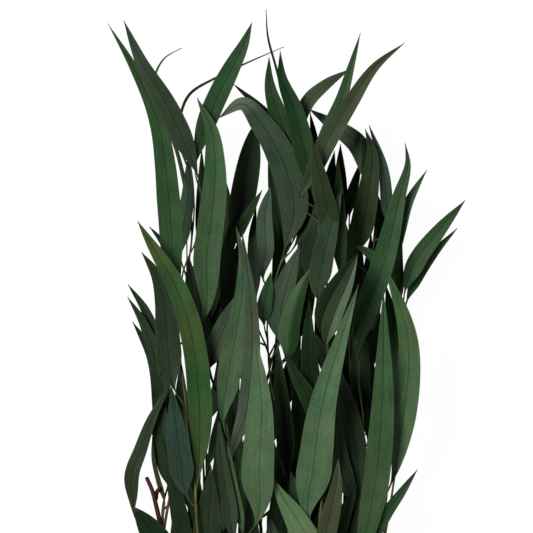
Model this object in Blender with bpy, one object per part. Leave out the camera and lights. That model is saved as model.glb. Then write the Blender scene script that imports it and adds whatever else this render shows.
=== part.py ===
"""A cut branch of long-leaved eucalyptus, laid down on a flat surface.

The brown wood forks near its cut end into arms, and each arm carries one leafy shoot: a thin twig with
long sickle-shaped leaves that all sweep towards the tip. The shoots lie on one another from the surface
upwards, so the script places them in that order and drapes each one over those beneath it.

Row frame: +Y runs from the cut end to the leaf tips, +X to the right, +Z up from the surface. The origin
is the flat spot under the cut end. Lengths are in millimetres until a mesh is made, in metres.
"""

import math
import random
from collections import namedtuple

import bmesh
import bpy
import numpy as np
from mathutils import Matrix, Vector
from mathutils.bvhtree import BVHTree

METRES = 0.001
CURVE_FINENESS = 12          # samples of a curve for each point that is kept

# Where the branch lies in the photograph, whose frame is 533 pixels high
MM_PER_PIXEL = 0.70
PIXEL_X_OF_AXIS = 285
PIXEL_Y_OF_EDGE = 533
EDGE_FROM_ORIGIN = 280.0

# Leaves
BLADE_THICKNESS = 0.7
BLADE_MIDDLE = 0.5           # past it the blade is never narrower than its tip, before it than its stalk
STALK_WIDTH = 1.7
TIP_WIDTH = 1.3
BASE_FULLNESS = 1.25         # how sharply the blade narrows into its stalk
FOLD_SHARE = 0.05            # how deep the midrib lies, as a share of the blade's width
STALK_REACH = 12.0           # how far below a blade its stalk leaves the twig
ROLL_SHARE = 0.2             # the share of a leaf's length over which it turns to its roll
LEAF_POINTS = 60             # points along a leaf's spine

# Leaves that the rule adds where the photograph hides them
GROWN_LENGTHS = (85.0, 125.0)
GROWN_WIDTHS = (12.0, 18.0)
GROWN_TURNS = (10.0, 22.0)   # degrees from the twig
GROWN_STATIONS = (0.0, 0.26, 0.62, 1.0)
GROWN_ROLLS = (8, 25)        # degrees
GROWN_BOWS = (0.02, 0.07)    # how far the blade bows to its side, as a share of its length
GROWN_FROM = 0.03            # the share of the twig below the lowest of them
SWEEP_MIDDLE = 0.8           # how strongly the blade's middle turns towards the branch's tip
SWEEP_TIP = 0.5              # and its tip once more
TIP_HOOK = 0.12              # how far the tip hooks back inwards
GROWN_SPREAD = 0.3           # how far a leaf is taken to spread aside, as a share of its length
GROWN_PARTS = (0.33, 0.36, 0.32)   # the lengths of the blade's three stretches, as shares
CLUMP_MIDDLE_X = 3.0
CLUMP_HALF_WIDTH = 80.0      # how far to either side their tips may reach

# The pile of shoots
PILE_GAP = 1.6               # least clearance above the shoots beneath
SIDE_GAP = 1.0               # least clearance beside them
OWN_GAP = 1.2                # the clearance above the leaf's own shoot
TWIG_GAP = 2.0
TWIG_END_DROP = 0.5          # the most that a lifted twig sinks over its last stretch
LIFT_STEP = 3.0
LIFT_STEPS = 24
ROW_SPACING = 1.2            # how finely a leaf feels along itself for what lies beneath it
COLUMNS_FELT = 7             # and at how many points across
RISE_VARIATION = (-3, 5)     # what chance adds to a leaf's rise
ARCH_COST = 1.3              # how much less an arch suits a leaf than more rise
SINK_STEPS = 4               # how many steps a leaf may also sink
FREE_SHARE = 0.12            # past its stalk a leaf may touch its own shoot for this share of its length
ABOVE_ALL = 900.0
SMOOTHING_PASSES = 60

# Wood
TWIG_START_RADIUS = 2.3
TWIG_END_RADIUS = 1.0
TWIG_JOINTS = 14
TWIG_POINTS = 40             # points along a twig's path
BARE_TWIG_RADIUS = 1.7
BARE_TWIG_END_RADIUS = 1.5
BARE_TWIG_POINTS = 5
BARE_TWIG_RISE = 5.0
STEM_RADIUS = 5.0
STEM_FORK_RADIUS = 4.2
LIMB_RADIUS = 3.5
LIMB_END_RADIUS = 2.9
ARM_RADIUS = 2.8
ARM_END_RADIUS = 2.4
ARM_GAP = 0.3                # between an arm's end and the twig that goes on from it
ARM_SPACING = 0.14           # how far apart arms leave a limb, as a share of its length
ARM_FORK = 0.04              # the share of the limb that an arm follows before it leaves it
STEM_POINTS = 7
LIMB_POINTS = 5
ARM_POINTS = 6
ARM_LEAVING = 14.0           # how far it then keeps to the limb's direction
ARM_ENDING = 24.0            # how far it runs straight towards its twig at the end
STEM_LINE = ((0, -18, 4.3), (0, 20, 4.3), (-1, 46, 7), (0, 68, 12))
LIMB_LINES = {
    "left": ((0, 48, 7.5), (-6, 78, 15), (-14, 114, 25)),
    "right": ((0, 54, 8.5), (8, 84, 16), (17, 120, 26)),
    "middle": ((0, 60, 10), (1, 90, 20), (2, 126, 32)),
}

# widest: where along the blade it is widest. taper: from 1, narrowing evenly from there, to 4, nearly
# as wide up to its tip. lift: how far it bends to clear its own shoot, and otherwise grows into it, in mm.
Leaf = namedtuple("Leaf", "midrib width roll widest taper lift", defaults=(0.28, 2.0, 12.0))
Shoot = namedtuple("Shoot", "name limb twig heights rise grown reach leaves bare", defaults=((),))
ON_SURFACE = ("shoot_back_left", "shoot_back_right")

# The shoots from the surface upwards. twig: the pixels that its twig passes, from the arm to its tip.
# heights: the twig above the surface at its start, middle and tip, in mm. rise: how far its leaf tips
# climb above their roots, in mm. grown and reach: how many leaves the rule adds, and over what share of
# the twig. bare: the pixels of its leafless side twigs. Each leaf has the pixels of its midrib from the
# blade's base to its tip, its greatest width in mm and its roll in degrees.
SHOOTS = (
    Shoot("shoot_back_left", "left",
          ((240, 661), (215, 600), (206, 533), (203, 470), (199, 400), (192, 340), (187, 290), (186, 235)),
          (14, 9, 5), -6, 8, 0.78, (
              Leaf(((208, 350), (197, 312), (191, 282), (188, 255)), 14, 10),
              Leaf(((212, 362), (222, 322), (232, 282), (240, 236)), 18, -12),
              Leaf(((226, 262), (228, 222), (225, 195), (221, 168)), 12, 15),
              Leaf(((180, 258), (182, 228), (187, 198), (188, 152)), 12, 15),
              Leaf(((199, 252), (200, 225), (201, 190), (201, 148)), 9, 30),
              Leaf(((180, 302), (172, 266), (162, 243), (148, 226)), 8, 15),
              Leaf(((190, 250), (180, 165), (161, 104), (154, 75), (163, 57), (181, 46)), 4, 40),
              Leaf(((193, 190), (178, 125), (188, 94), (216, 76), (245, 62), (284, 45)), 2.6, 40),
              Leaf(((194, 520), (188, 465), (182, 415), (180, 360)), 17, 10),
              Leaf(((204, 600), (200, 560), (196, 510), (194, 455)), 16, -10),
          )),
    Shoot("shoot_back_right", "right",
          ((330, 661), (345, 600), (350, 533), (352, 470), (352, 400), (350, 340), (351, 280), (350, 225)),
          (14, 9, 5), -6, 8, 0.70, (
              Leaf(((352, 292), (347, 250), (341, 222), (336, 195)), 11, 20),
              Leaf(((343, 236), (335, 205), (331, 178), (335, 150)), 12, 10),
              Leaf(((350, 216), (352, 196), (357, 178), (362, 160)), 8, -20),
              Leaf(((394, 400), (396, 360), (393, 320), (387, 285)), 15, 15),
              Leaf(((368, 445), (370, 405), (368, 368), (362, 328)), 15, -15),
              Leaf(((358, 425), (360, 385), (360, 345), (355, 300)), 15, 12),
              Leaf(((350, 390), (348, 350), (347, 308), (351, 264)), 15, -10),
              Leaf(((371, 372), (373, 335), (370, 285), (372, 232)), 14, -12),
              Leaf(((376, 300), (382, 262), (383, 225), (377, 190)), 13, 10),
          )),
    Shoot("shoot_back_middle", "middle",
          ((282, 661), (268, 600), (261, 533), (258, 470), (262, 400), (270, 361), (257, 326), (247, 285),
           (238, 240)),
          (20, 20, 14), 0, 6, 0.80, (
              Leaf(((233, 328), (230, 290), (228, 260), (232, 215)), 14, -15),
              Leaf(((236, 238), (242, 200), (249, 160), (255, 122)), 18, -10, 0.28, 3.5),
              Leaf(((232, 246), (240, 228), (250, 210), (262, 190)), 9, 25),
              Leaf(((256, 300), (254, 264), (253, 236), (256, 206)), 9, 10),
              Leaf(((246, 560), (247, 520), (245, 480), (243, 440)), 13, 12),
              Leaf(((300, 480), (300, 445), (298, 405), (301, 350)), 11, -12),
              Leaf(((284, 262), (280, 226), (274, 190), (268, 158)), 12, 10),
              Leaf(((281, 330), (281, 295), (279, 260), (274, 222)), 13, -10),
              Leaf(((294, 345), (302, 305), (308, 265), (310, 225)), 17, 10),
          )),
    Shoot("shoot_left_outer", "left",
          ((232, 661), (190, 605), (166, 545), (162, 510), (170, 475), (168, 440), (162, 405), (157, 385)),
          (24, 24, 18), 4, 2, 0.30, (
              Leaf(((186, 596), (168, 560), (149, 530), (133, 507)), 21, 8, 0.4, 2.6),
              Leaf(((172, 500), (164, 452), (160, 415), (164, 380)), 15, -10),
              Leaf(((160, 376), (155, 345), (145, 312), (127, 284)), 9, -10),
              Leaf(((158, 388), (152, 350), (142, 322), (127, 297)), 9, 15),
              Leaf(((164, 470), (163, 410), (154, 360), (132, 322)), 16, -12),
              Leaf(((164, 505), (158, 482), (153, 460), (152, 437)), 5, 40),
              Leaf(((134, 517), (132, 498), (131, 477), (140, 450), (151, 420), (171, 383)), 10.5, 12),
              Leaf(((186, 610), (183, 570), (180, 530), (178, 488)), 19, 8),
          ),
          (((163, 540), (156, 508), (152, 492), (146, 478)), ((155, 500), (156, 494), (160, 488)))),
    Shoot("shoot_right_outer", "right",
          ((347, 661), (372, 600), (386, 533), (396, 470), (402, 410), (404, 350), (405, 312)),
          (24, 24, 18), 4, 3, 0.50, (
              Leaf(((401, 305), (397, 272), (398, 243), (404, 214)), 11, 8),
              Leaf(((407, 303), (418, 278), (436, 252), (458, 228)), 8, -15),
              Leaf(((405, 293), (416, 262), (438, 232), (466, 200)), 13, 10),
          )),
    Shoot("shoot_right_middle", "right",
          ((340, 661), (352, 600), (358, 533), (363, 470), (363, 415), (359, 380), (362, 340), (367, 290),
           (373, 250), (379, 218)),
          (36, 34, 34), 6, 3, 0.40, (
              Leaf(((345, 560), (352, 532), (356, 515), (360, 498)), 10, 10),
              Leaf(((336, 548), (343, 517), (350, 499), (356, 484)), 11, -10),
              Leaf(((374, 219), (368, 184), (365, 159), (362, 134)), 8, 20),
              Leaf(((390, 234), (387, 205), (383, 168), (369, 125)), 9, -12),
              Leaf(((356, 262), (363, 222), (370, 180), (372, 152), (365, 129)), 17, 8),
              Leaf(((372, 212), (370, 172), (358, 144), (335, 126), (309, 109)), 15, 10, 0.45),
              Leaf(((385, 270), (375, 258), (366, 251), (354, 244)), 8, 10),
              Leaf(((390, 265), (399, 232), (408, 203), (417, 186), (427, 170)), 9, 12),
              Leaf(((360, 497), (351, 420), (325, 356), (298, 313)), 15, -10),
              Leaf(((357, 363), (366, 315), (384, 262), (400, 195), (408, 162), (405, 143)), 17, 10),
          )),
    Shoot("shoot_middle", "middle",
          ((287, 661), (289, 600), (289, 533), (288, 485), (282, 430), (272, 390), (268, 350), (268, 312),
           (273, 290), (280, 265), (292, 243), (303, 220)),
          (42, 42, 40), 8, 3, 0.45, (
              Leaf(((306, 560), (303, 528), (297, 498), (290, 470)), 15, 10),
              Leaf(((272, 612), (277, 578), (274, 545), (267, 512)), 16, -10),
              Leaf(((298, 175), (289, 118), (275, 64), (268, 38), (266, 10)), 5, 65),
              Leaf(((303, 200), (296, 160), (280, 118), (270, 85), (269, 57)), 16, 10),
              Leaf(((279, 345), (281, 310), (288, 280), (300, 245)), 18, 12),
              Leaf(((264, 325), (264, 308), (267, 291), (271, 272)), 11, -10),
              Leaf(((264, 282), (266, 248), (265, 216), (270, 187)), 12, -8, 0.35, 3.2),
              Leaf(((306, 285), (312, 248), (320, 212), (326, 172)), 15, 10),
              Leaf(((292, 250), (308, 205), (292, 150), (262, 110), (232, 83)), 14, 10),
              Leaf(((284, 251), (294, 205), (284, 164), (261, 123), (243, 104), (219, 118)), 21, -8, 0.28, 2.8),
              Leaf(((284, 362), (289, 325), (299, 292), (312, 266)), 16, 25),
              Leaf(((288, 478), (284, 430), (280, 385), (277, 343)), 13, 10),
              Leaf(((306, 180), (303, 150), (300, 122), (309, 101), (325, 86), (349, 70)), 10, 15, 0.6),
          )),
    Shoot("shoot_right_inner", "middle",
          ((316, 661), (318, 600), (318, 540), (325, 470), (330, 410), (329, 360), (324, 310), (320, 255),
           (318, 205), (317, 172)),
          (54, 50, 48), 8, 0, 0.0, (
              Leaf(((318, 640), (312, 605), (306, 575), (304, 545)), 14, -12),
              Leaf(((322, 630), (330, 600), (336, 570), (338, 545)), 14, 12),
              Leaf(((314, 425), (311, 385), (308, 345), (309, 300)), 14, -10),
              Leaf(((325, 440), (312, 405), (297, 378), (283, 350)), 13, 10),
              Leaf(((338, 280), (339, 245), (339, 205), (337, 158)), 10, -12),
              Leaf(((330, 245), (328, 215), (321, 185), (312, 140)), 15, 12),
              Leaf(((304, 200), (316, 165), (328, 130), (341, 100), (351, 66), (360, 34)), 10.5, 12),
              Leaf(((300, 205), (312, 172), (330, 136), (350, 103), (375, 67), (404, 44)), 13, -10),
              Leaf(((322, 336), (325, 310), (340, 280), (358, 253)), 15, -12),
              Leaf(((326, 347), (333, 315), (346, 285), (357, 256)), 13, 12),
              Leaf(((319, 302), (322, 265), (331, 225), (341, 190)), 16, 10),
              Leaf(((313, 195), (306, 158), (294, 110), (282, 78), (280, 52)), 15, -10),
              Leaf(((320, 562), (328, 520), (335, 490), (338, 458)), 14, 10),
              Leaf(((322, 568), (308, 539), (293, 513), (281, 494), (273, 478)), 19, 8),
              Leaf(((310, 522), (314, 465), (323, 400), (340, 340), (358, 284)), 25, -6, 0.22, 1.3, 30),
          )),
    Shoot("shoot_left_inner", "left",
          ((255, 661), (249, 600), (243, 540), (238, 480), (230, 440), (221, 405), (213, 382), (206, 350)),
          (54, 50, 44), 8, 0, 0.0, (
              Leaf(((253, 640), (258, 605), (262, 575), (262, 545)), 14, 10),
              Leaf(((247, 625), (238, 595), (232, 570), (230, 545)), 13, -12),
              Leaf(((212, 575), (208, 535), (210, 498), (211, 466)), 20, 10),
              Leaf(((209, 371), (217, 345), (228, 320), (246, 285)), 16, 12),
              Leaf(((254, 526), (259, 465), (261, 400), (255, 338)), 23, 6),
              Leaf(((243, 535), (236, 500), (231, 470), (228, 440)), 8, 15),
              Leaf(((236, 545), (228, 500), (221, 455), (218, 420)), 11, -15),
              Leaf(((224, 428), (227, 385), (237, 330), (243, 288), (243, 258), (236, 227)), 17, -10),
              Leaf(((232, 466), (246, 410), (252, 320), (242, 231)), 13, 12),
          )),
    Shoot("shoot_left_front", "left",
          ((247, 661), (215, 600), (198, 533), (195, 479), (190, 433), (184, 388), (178, 330), (180, 290),
           (186, 262), (194, 246), (200, 225), (203, 186)),
          (58, 50, 44), 8, 0, 0.0, (
              Leaf(((232, 645), (222, 610), (214, 580), (208, 545)), 14, -10),
              Leaf(((176, 392), (168, 345), (165, 305), (158, 278), (142, 252)), 18, -10),
              Leaf(((188, 497), (181, 462), (176, 425), (172, 386)), 17, 8),
              Leaf(((179, 350), (174, 290), (170, 205), (155, 112), (132, 64), (108, 24)), 17, -8, 0.4, 1.5),
              Leaf(((198, 177), (183, 140), (164, 101), (143, 66), (124, 21)), 15, 10),
              Leaf(((195, 170), (203, 135), (216, 102), (232, 69), (244, 45), (252, 23)), 14.5, -8, 0.38, 2.5),
              Leaf(((200, 325), (207, 255), (215, 165), (212, 132), (197, 98)), 19, 6, 0.3, 2.6),
              Leaf(((197, 486), (200, 405), (184, 305), (138, 221)), 17, -8, 0.28, 3.5),
          )),
    Shoot("shoot_right_front", "right",
          ((344, 661), (366, 600), (371, 545), (381, 500), (393, 455), (401, 430)),
          (60, 52, 46), 8, 0, 0.0, (
              Leaf(((356, 640), (366, 610), (374, 580), (378, 548)), 14, 10),
              Leaf(((389, 488), (401, 428), (407, 335), (385, 266)), 18, 10, 0.35),
              Leaf(((372, 548), (386, 514), (402, 491), (417, 469)), 9, -15),
              Leaf(((353, 590), (364, 540), (375, 482), (381, 420), (383, 350), (383, 292)), 18.5, -8, 0.38),
          )),
)


def to_row(pixels):
    """Pixels of the photograph as x, y in the row frame, in mm."""
    columns, lines = np.array(pixels, float).T
    x = (columns - PIXEL_X_OF_AXIS) * MM_PER_PIXEL
    y = EDGE_FROM_ORIGIN + (PIXEL_Y_OF_EDGE - lines) * MM_PER_PIXEL
    return np.stack([x, y], 1)


def path_length(path):
    return float(np.linalg.norm(np.diff(path, axis=0), axis=1).sum())


def unit(vectors):
    return vectors / np.linalg.norm(vectors, axis=-1, keepdims=True)


def at_shares(path, shares):
    """The points of a path at the given shares of its length."""
    run = np.concatenate([[0.0], np.cumsum(np.linalg.norm(np.diff(path, axis=0), axis=1))])
    where = np.array(shares) * run[-1]
    return np.stack([np.interp(where, run, axis) for axis in path.T], 1)


def at_rows(rows, shares):
    """Rows that stand at even shares, read at other shares."""
    even = np.linspace(0.0, 1.0, len(rows))
    return np.stack([np.interp(shares, even, axis) for axis in rows.T], 1)


def smooth_path(points, count):
    """Points spaced evenly along a smooth curve through the given ones."""
    points = np.array(points, float)
    steps = np.linalg.norm(np.diff(points, axis=0), axis=1)
    knots = np.concatenate([[0.0], np.cumsum(steps)])
    slopes = np.gradient(points, knots, axis=0)
    where = np.linspace(0.0, knots[-1], CURVE_FINENESS * count)
    span = np.clip(np.searchsorted(knots, where, side="right") - 1, 0, len(steps) - 1)
    length = steps[span][:, None]
    t = (where[:, None] - knots[span][:, None]) / length
    curve = (
        (2 * t**3 - 3 * t**2 + 1) * points[span]
        + (t**3 - 2 * t**2 + t) * length * slopes[span]
        + (3 * t**2 - 2 * t**3) * points[span + 1]
        + (t**3 - t**2) * length * slopes[span + 1]
    )
    return at_shares(curve, np.linspace(0.0, 1.0, count))


class Pile:
    """The surfaces of the pieces placed so far, read from above."""

    def __init__(self):
        self.points = []
        self.faces = []
        self.tree = None

    def add(self, mesh):
        first = len(self.points)
        self.points += [v.co / METRES for v in mesh.vertices]
        self.faces += [[first + k for k in p.vertices] for p in mesh.polygons]
        self.tree = BVHTree.FromPolygons(self.points, self.faces)

    def top(self, spots):
        """The height of the pile at each x, y of an array, and minus infinity where nothing lies."""
        heights = np.full(spots.shape[:-1], -np.inf)
        if self.tree is None:
            return heights
        for index in np.ndindex(heights.shape):
            x, y = spots[index]
            hit = self.tree.ray_cast(Vector((x, y, ABOVE_ALL)), Vector((0.0, 0.0, -1.0)))[0]
            if hit is not None:
                heights[index] = hit.z
        return heights


def drape_twig(flat, heights, pile):
    """A twig's x, y points with heights: its own line, lifted smoothly over what lies beneath."""
    shares = np.linspace(0.0, 1.0, len(flat))
    own = np.interp(shares, (0.0, 0.5, 1.0), heights)
    along = unit(np.gradient(flat, axis=0))
    side = np.stack([-along[:, 1], along[:, 0]], 1) * TWIG_START_RADIUS
    spots = np.stack([flat - side, flat, flat + side], 1)
    beneath = pile.top(spots).max(axis=1) + TWIG_START_RADIUS + TWIG_GAP
    lifted = np.maximum(own, beneath)
    for _ in range(SMOOTHING_PASSES):
        middle = 0.5 * (lifted[:-2] + lifted[2:])
        lifted[1:-1] = np.maximum(lifted[1:-1], middle)
        lifted[-1] = max(lifted[-1], lifted[-2] - TWIG_END_DROP)
    return np.column_stack([flat, lifted])


def blade_widths(shares, stalk, leaf):
    """The leaf's width at shares of its length, of which the stalk takes the first part."""
    blade = np.clip((shares - stalk) / (1 - stalk), 0.0, 1.0)
    rising = np.sin(0.5 * math.pi * np.minimum(1.0, blade / leaf.widest)) ** BASE_FULLNESS
    falling = 1 - np.maximum(0.0, (blade - leaf.widest) / (1 - leaf.widest)) ** leaf.taper
    least = np.where(blade > BLADE_MIDDLE, TIP_WIDTH, STALK_WIDTH)
    return np.maximum(leaf.width * rising * falling, least)


def leaf_sides(spine, roll):
    """Unit vectors across the leaf, and out of its upper face, along its spine."""
    along = unit(np.gradient(spine, axis=0))
    level = unit(np.stack([along[:, 1], -along[:, 0], np.zeros(len(along))], 1))
    up = np.cross(level, along)
    shares = np.linspace(0.0, 1.0, len(spine))
    turn = math.radians(roll) * np.minimum(1.0, shares / ROLL_SHARE)[:, None]
    across = level * np.cos(turn) + up * np.sin(turn)
    return across, np.cross(across, along)


def leaf_strip(path, stalk, leaf, shares):
    """Rows of points across a level leaf at the given shares, its z only from the leaf's roll."""
    flat = at_shares(path, shares)
    across = leaf_sides(np.column_stack([path, 0 * path[:, 0]]), leaf.roll)[0]
    across = unit(at_rows(across, shares))
    half = 0.5 * blade_widths(shares, stalk, leaf) + SIDE_GAP
    offsets = np.linspace(-1.0, 1.0, COLUMNS_FELT)[None, :, None] * (half[:, None] * across)[:, None, :]
    return np.column_stack([flat, 0 * shares])[:, None, :] + offsets


def drape_leaf(leaf, twig, pile, own, rise, stations):
    """The leaf's spine, clear above the pile and where it can above its own shoot, and its stalk's share.

    The leaf leaves the twig below its blade's base. It climbs by rise from there to its tip, and as
    much more, or with as much of an arch, as clears what lies beneath. Both the smooth leaf and the
    one with straight stretches between the stations have to clear it.
    """
    base = leaf.midrib[0]
    aside = np.linalg.norm(twig[:, :2] - base, axis=1)
    nearest = int(np.argmin(aside))
    step = path_length(twig) / (len(twig) - 1)
    root = twig[max(1, nearest - round(max(STALK_REACH, aside[nearest]) / step))]
    path = smooth_path([root[:2], *leaf.midrib], LEAF_POINTS)
    stalk = float(np.linalg.norm(root[:2] - base)) / path_length(path)

    shares = np.linspace(0.0, 1.0, round(path_length(path) / ROW_SPACING))
    knots = np.concatenate([[0.0], stalk + (1 - stalk) * np.array(stations)])
    smooth = leaf_strip(path, stalk, leaf, shares)
    corners = leaf_strip(path, stalk, leaf, knots)
    columns = corners.swapaxes(0, 1)
    straight = np.array([[np.interp(shares, knots, axis) for axis in column.T] for column in columns])
    rows = np.concatenate([smooth, straight.transpose(2, 0, 1)], axis=1)
    drop = BLADE_THICKNESS - rows[:, :, 2]
    above_pile = (pile.top(rows[:, :, :2]) + PILE_GAP + drop).max(axis=1)
    above_floor = (FOLD_SHARE * leaf.width + drop).max(axis=1)
    above_own = (own.top(rows[:, :, :2]) + OWN_GAP + drop).max(axis=1)
    above_own[shares < stalk + FREE_SHARE] = -np.inf
    needed = np.maximum(above_pile, above_floor)

    steps = np.arange(-SINK_STEPS, LIFT_STEPS) * LIFT_STEP
    arches = steps[SINK_STEPS // 2:]
    choices = sorted((more**2 + ARCH_COST * arch**2, more, arch) for more in steps for arch in arches)
    for limit, most in ((np.maximum(needed, above_own), leaf.lift), (needed, np.inf)):
        for cost, more, arch in choices:
            if cost > most**2:
                break
            height = root[2] + (rise + more) * shares + 4.0 * arch * shares * (1 - shares)
            lowest = np.minimum(height, np.interp(shares, knots, np.interp(knots, shares, height)))
            if (lowest >= limit)[1:].all():
                return np.column_stack([at_shares(path, shares), height]), stalk
    raise ValueError(f"no way over the pile for the leaf at {leaf.midrib[0]}")


def leaf_mesh(leaf, spine, stalk, stations):
    """A closed thin blade with its stalk: a grid laid along the spine, then given its thickness."""
    shares = np.concatenate([[0.0], stalk + (1 - stalk) * np.array(stations)])
    centre = at_rows(spine, shares)
    across, out = (unit(at_rows(rows, shares)) for rows in leaf_sides(spine, leaf.roll))
    width = blade_widths(shares, stalk, leaf)
    last = len(shares) - 1
    bm = bmesh.new()
    bmesh.ops.create_grid(bm, x_segments=2, y_segments=last, size=1.0)
    bmesh.ops.triangulate(bm, faces=bm.faces[:], quad_method="FIXED")
    row = bm.verts.layers.int.new("row")
    for v in bm.verts:
        side = round(v.co.x)
        k = round((v.co.y + 1) / 2 * last)
        v[row] = k
        fold = FOLD_SHARE * width[k] * (abs(side) - 1)
        v.co = Vector(centre[k] + across[k] * side * width[k] / 2 + out[k] * (fold + BLADE_THICKNESS / 2))
    under = bmesh.ops.extrude_face_region(bm, geom=bm.faces[:], use_keep_orig=True)["geom"]
    for v in (g for g in under if isinstance(g, bmesh.types.BMVert)):
        v.co -= Vector(out[v[row]]) * BLADE_THICKNESS
    bmesh.ops.scale(bm, vec=(METRES, METRES, METRES), verts=bm.verts[:])
    return closed_mesh(bm, "leaf")


def closed_mesh(bm, name):
    """A mesh of triangles that all face outwards."""
    bmesh.ops.remove_doubles(bm, verts=bm.verts[:], dist=1e-6)
    bmesh.ops.triangulate(bm, faces=bm.faces[:])
    bmesh.ops.recalc_face_normals(bm, faces=bm.faces[:])
    mesh = bpy.data.meshes.new(name)
    bm.to_mesh(mesh)
    bm.free()
    return mesh


def tube_mesh(path, start_radius, end_radius, name, resolution=1):
    """A round rod along a path, thinner towards its end, with closed ends."""
    curve = bpy.data.curves.new(name, "CURVE")
    curve.dimensions = "3D"
    curve.bevel_depth = METRES
    curve.bevel_resolution = resolution
    curve.use_fill_caps = True
    spline = curve.splines.new("POLY")
    spline.points.add(len(path) - 1)
    radii = np.linspace(start_radius, end_radius, len(path))
    for point, place, radius in zip(spline.points, path, radii):
        point.co = (*(place * METRES), 1.0)
        point.radius = radius
    guide = bpy.data.objects.new(name, curve)
    bm = bmesh.new()
    bm.from_mesh(bpy.data.meshes.new_from_object(guide))
    bpy.data.objects.remove(guide)
    for face in bm.faces:
        face.smooth = len(face.verts) == 4
    return closed_mesh(bm, name)


def stem_mesh():
    """The main stem, with the flat spot that it lies on."""
    bm = bmesh.new()
    bm.from_mesh(tube_mesh(smooth_path(STEM_LINE, STEM_POINTS), STEM_RADIUS, STEM_FORK_RADIUS, "stem", 3))
    cut = bmesh.ops.bisect_plane(
        bm,
        geom=bm.verts[:] + bm.edges[:] + bm.faces[:],
        dist=1e-7,
        plane_co=(0, 0, 0),
        plane_no=(0, 0, 1),
        clear_inner=True,
    )
    rim = [g for g in cut["geom_cut"] if isinstance(g, bmesh.types.BMEdge)]
    bmesh.ops.contextual_create(bm, geom=rim)
    return closed_mesh(bm, "stem")


def grown_leaves(shoot, twig, rng):
    """Leaves that the photograph hides, on alternate sides of the twig and swept towards its tip."""
    leaves = []
    along = unit(np.gradient(twig[:, :2], axis=0))
    for i in range(shoot.grown):
        index = round((GROWN_FROM + shoot.reach * i / shoot.grown) * (len(twig) - 1))
        forward = along[index]
        aside = np.array([forward[1], -forward[0]])
        side = 1 if i % 2 else -1
        length = rng.uniform(*GROWN_LENGTHS)
        beyond = twig[index, 0] + length * (forward + GROWN_SPREAD * side * aside)[0] - CLUMP_MIDDLE_X
        if abs(beyond) > CLUMP_HALF_WIDTH:
            side = -int(np.sign(beyond))
        turn = math.radians(side * rng.uniform(*GROWN_TURNS))
        heading = forward * math.cos(turn) + aside * math.sin(turn)
        swept = unit(heading + np.array([0.0, SWEEP_MIDDLE]))
        bow = side * aside * length * rng.uniform(*GROWN_BOWS)
        base = twig[index, :2] + heading * STALK_REACH
        belly = base + heading * length * GROWN_PARTS[0] + bow
        shoulder = belly + swept * length * GROWN_PARTS[1]
        tipwards = unit(swept + np.array([-TIP_HOOK * side, SWEEP_TIP]))
        tip = shoulder + tipwards * length * GROWN_PARTS[2]
        midrib = np.array([base, belly, shoulder, tip])
        leaves.append(Leaf(midrib, rng.uniform(*GROWN_WIDTHS), side * rng.uniform(*GROWN_ROLLS)))
    return leaves


def build_shoot(shoot, pile, rng):
    """One leafy shoot: its twig draped over the pile, then its leaves. Also returns its twig's path.

    The two lowest shoots sink until their lowest leaf touches the surface.
    """
    twig = drape_twig(smooth_path(to_row(shoot.twig), TWIG_POINTS), shoot.heights, pile)
    joints = at_shares(twig, np.linspace(0.0, 1.0, TWIG_JOINTS))
    solid = tube_mesh(joints, TWIG_START_RADIUS, TWIG_END_RADIUS, "twig")
    own = Pile()
    own.add(solid)
    pieces = []
    for pixels in shoot.bare:
        flat = smooth_path(to_row(pixels), BARE_TWIG_POINTS)
        foot = twig[np.argmin(np.linalg.norm(twig[:, :2] - flat[0], axis=1)), 2]
        path = np.column_stack([flat, foot + np.linspace(0.0, BARE_TWIG_RISE, BARE_TWIG_POINTS)])
        pieces.append(tube_mesh(path, BARE_TWIG_RADIUS, BARE_TWIG_END_RADIUS, "bare_twig"))
    seen = [leaf._replace(midrib=to_row(leaf.midrib)) for leaf in shoot.leaves]
    ordered = [(leaf, GROWN_STATIONS) for leaf in grown_leaves(shoot, twig, rng)]
    ordered += [(leaf, np.linspace(0.0, 1.0, 2 * len(leaf.midrib) - 3)) for leaf in seen]
    for leaf, stations in ordered:
        rise = shoot.rise + rng.uniform(*RISE_VARIATION)
        spine, stalk = drape_leaf(leaf, twig, pile, own, rise, stations)
        pieces.append(leaf_mesh(leaf, spine, stalk, stations))
        own.add(pieces[-1])
    grown = join(shoot.name, solid, pieces)
    if shoot.name in ON_SURFACE:
        lowest = min(v.co.z for v in grown.data.vertices)
        grown.data.transform(Matrix.Translation((0.0, 0.0, -lowest)))
        twig[:, 2] -= lowest / METRES
    pile.add(grown.data)
    return grown, twig


def build_wood(twigs):
    """The brown wood: stem, limbs, and an arm to just short of each twig's start."""
    pieces = []
    for limb, line in LIMB_LINES.items():
        path = smooth_path(line, LIMB_POINTS)
        pieces.append(tube_mesh(path, LIMB_RADIUS, LIMB_END_RADIUS, "limb", 2))
        carried = [shoot.name for shoot in SHOOTS if shoot.limb == limb]
        for k, name in enumerate(carried):
            share = 1.0 - ARM_SPACING * (len(carried) - 1 - k)
            fork, ahead = at_shares(path, (share - ARM_FORK, share))
            start, next_on = twigs[name][:2]
            onward = unit(next_on - start)
            end = start - ARM_GAP * onward
            leaving = fork + ARM_LEAVING * unit(ahead - fork)
            arm = smooth_path([fork, leaving, end - ARM_ENDING * onward, end], ARM_POINTS)
            pieces.append(tube_mesh(arm, ARM_RADIUS, ARM_END_RADIUS, "arm"))
    return join("woody_stem", stem_mesh(), pieces)


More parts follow.
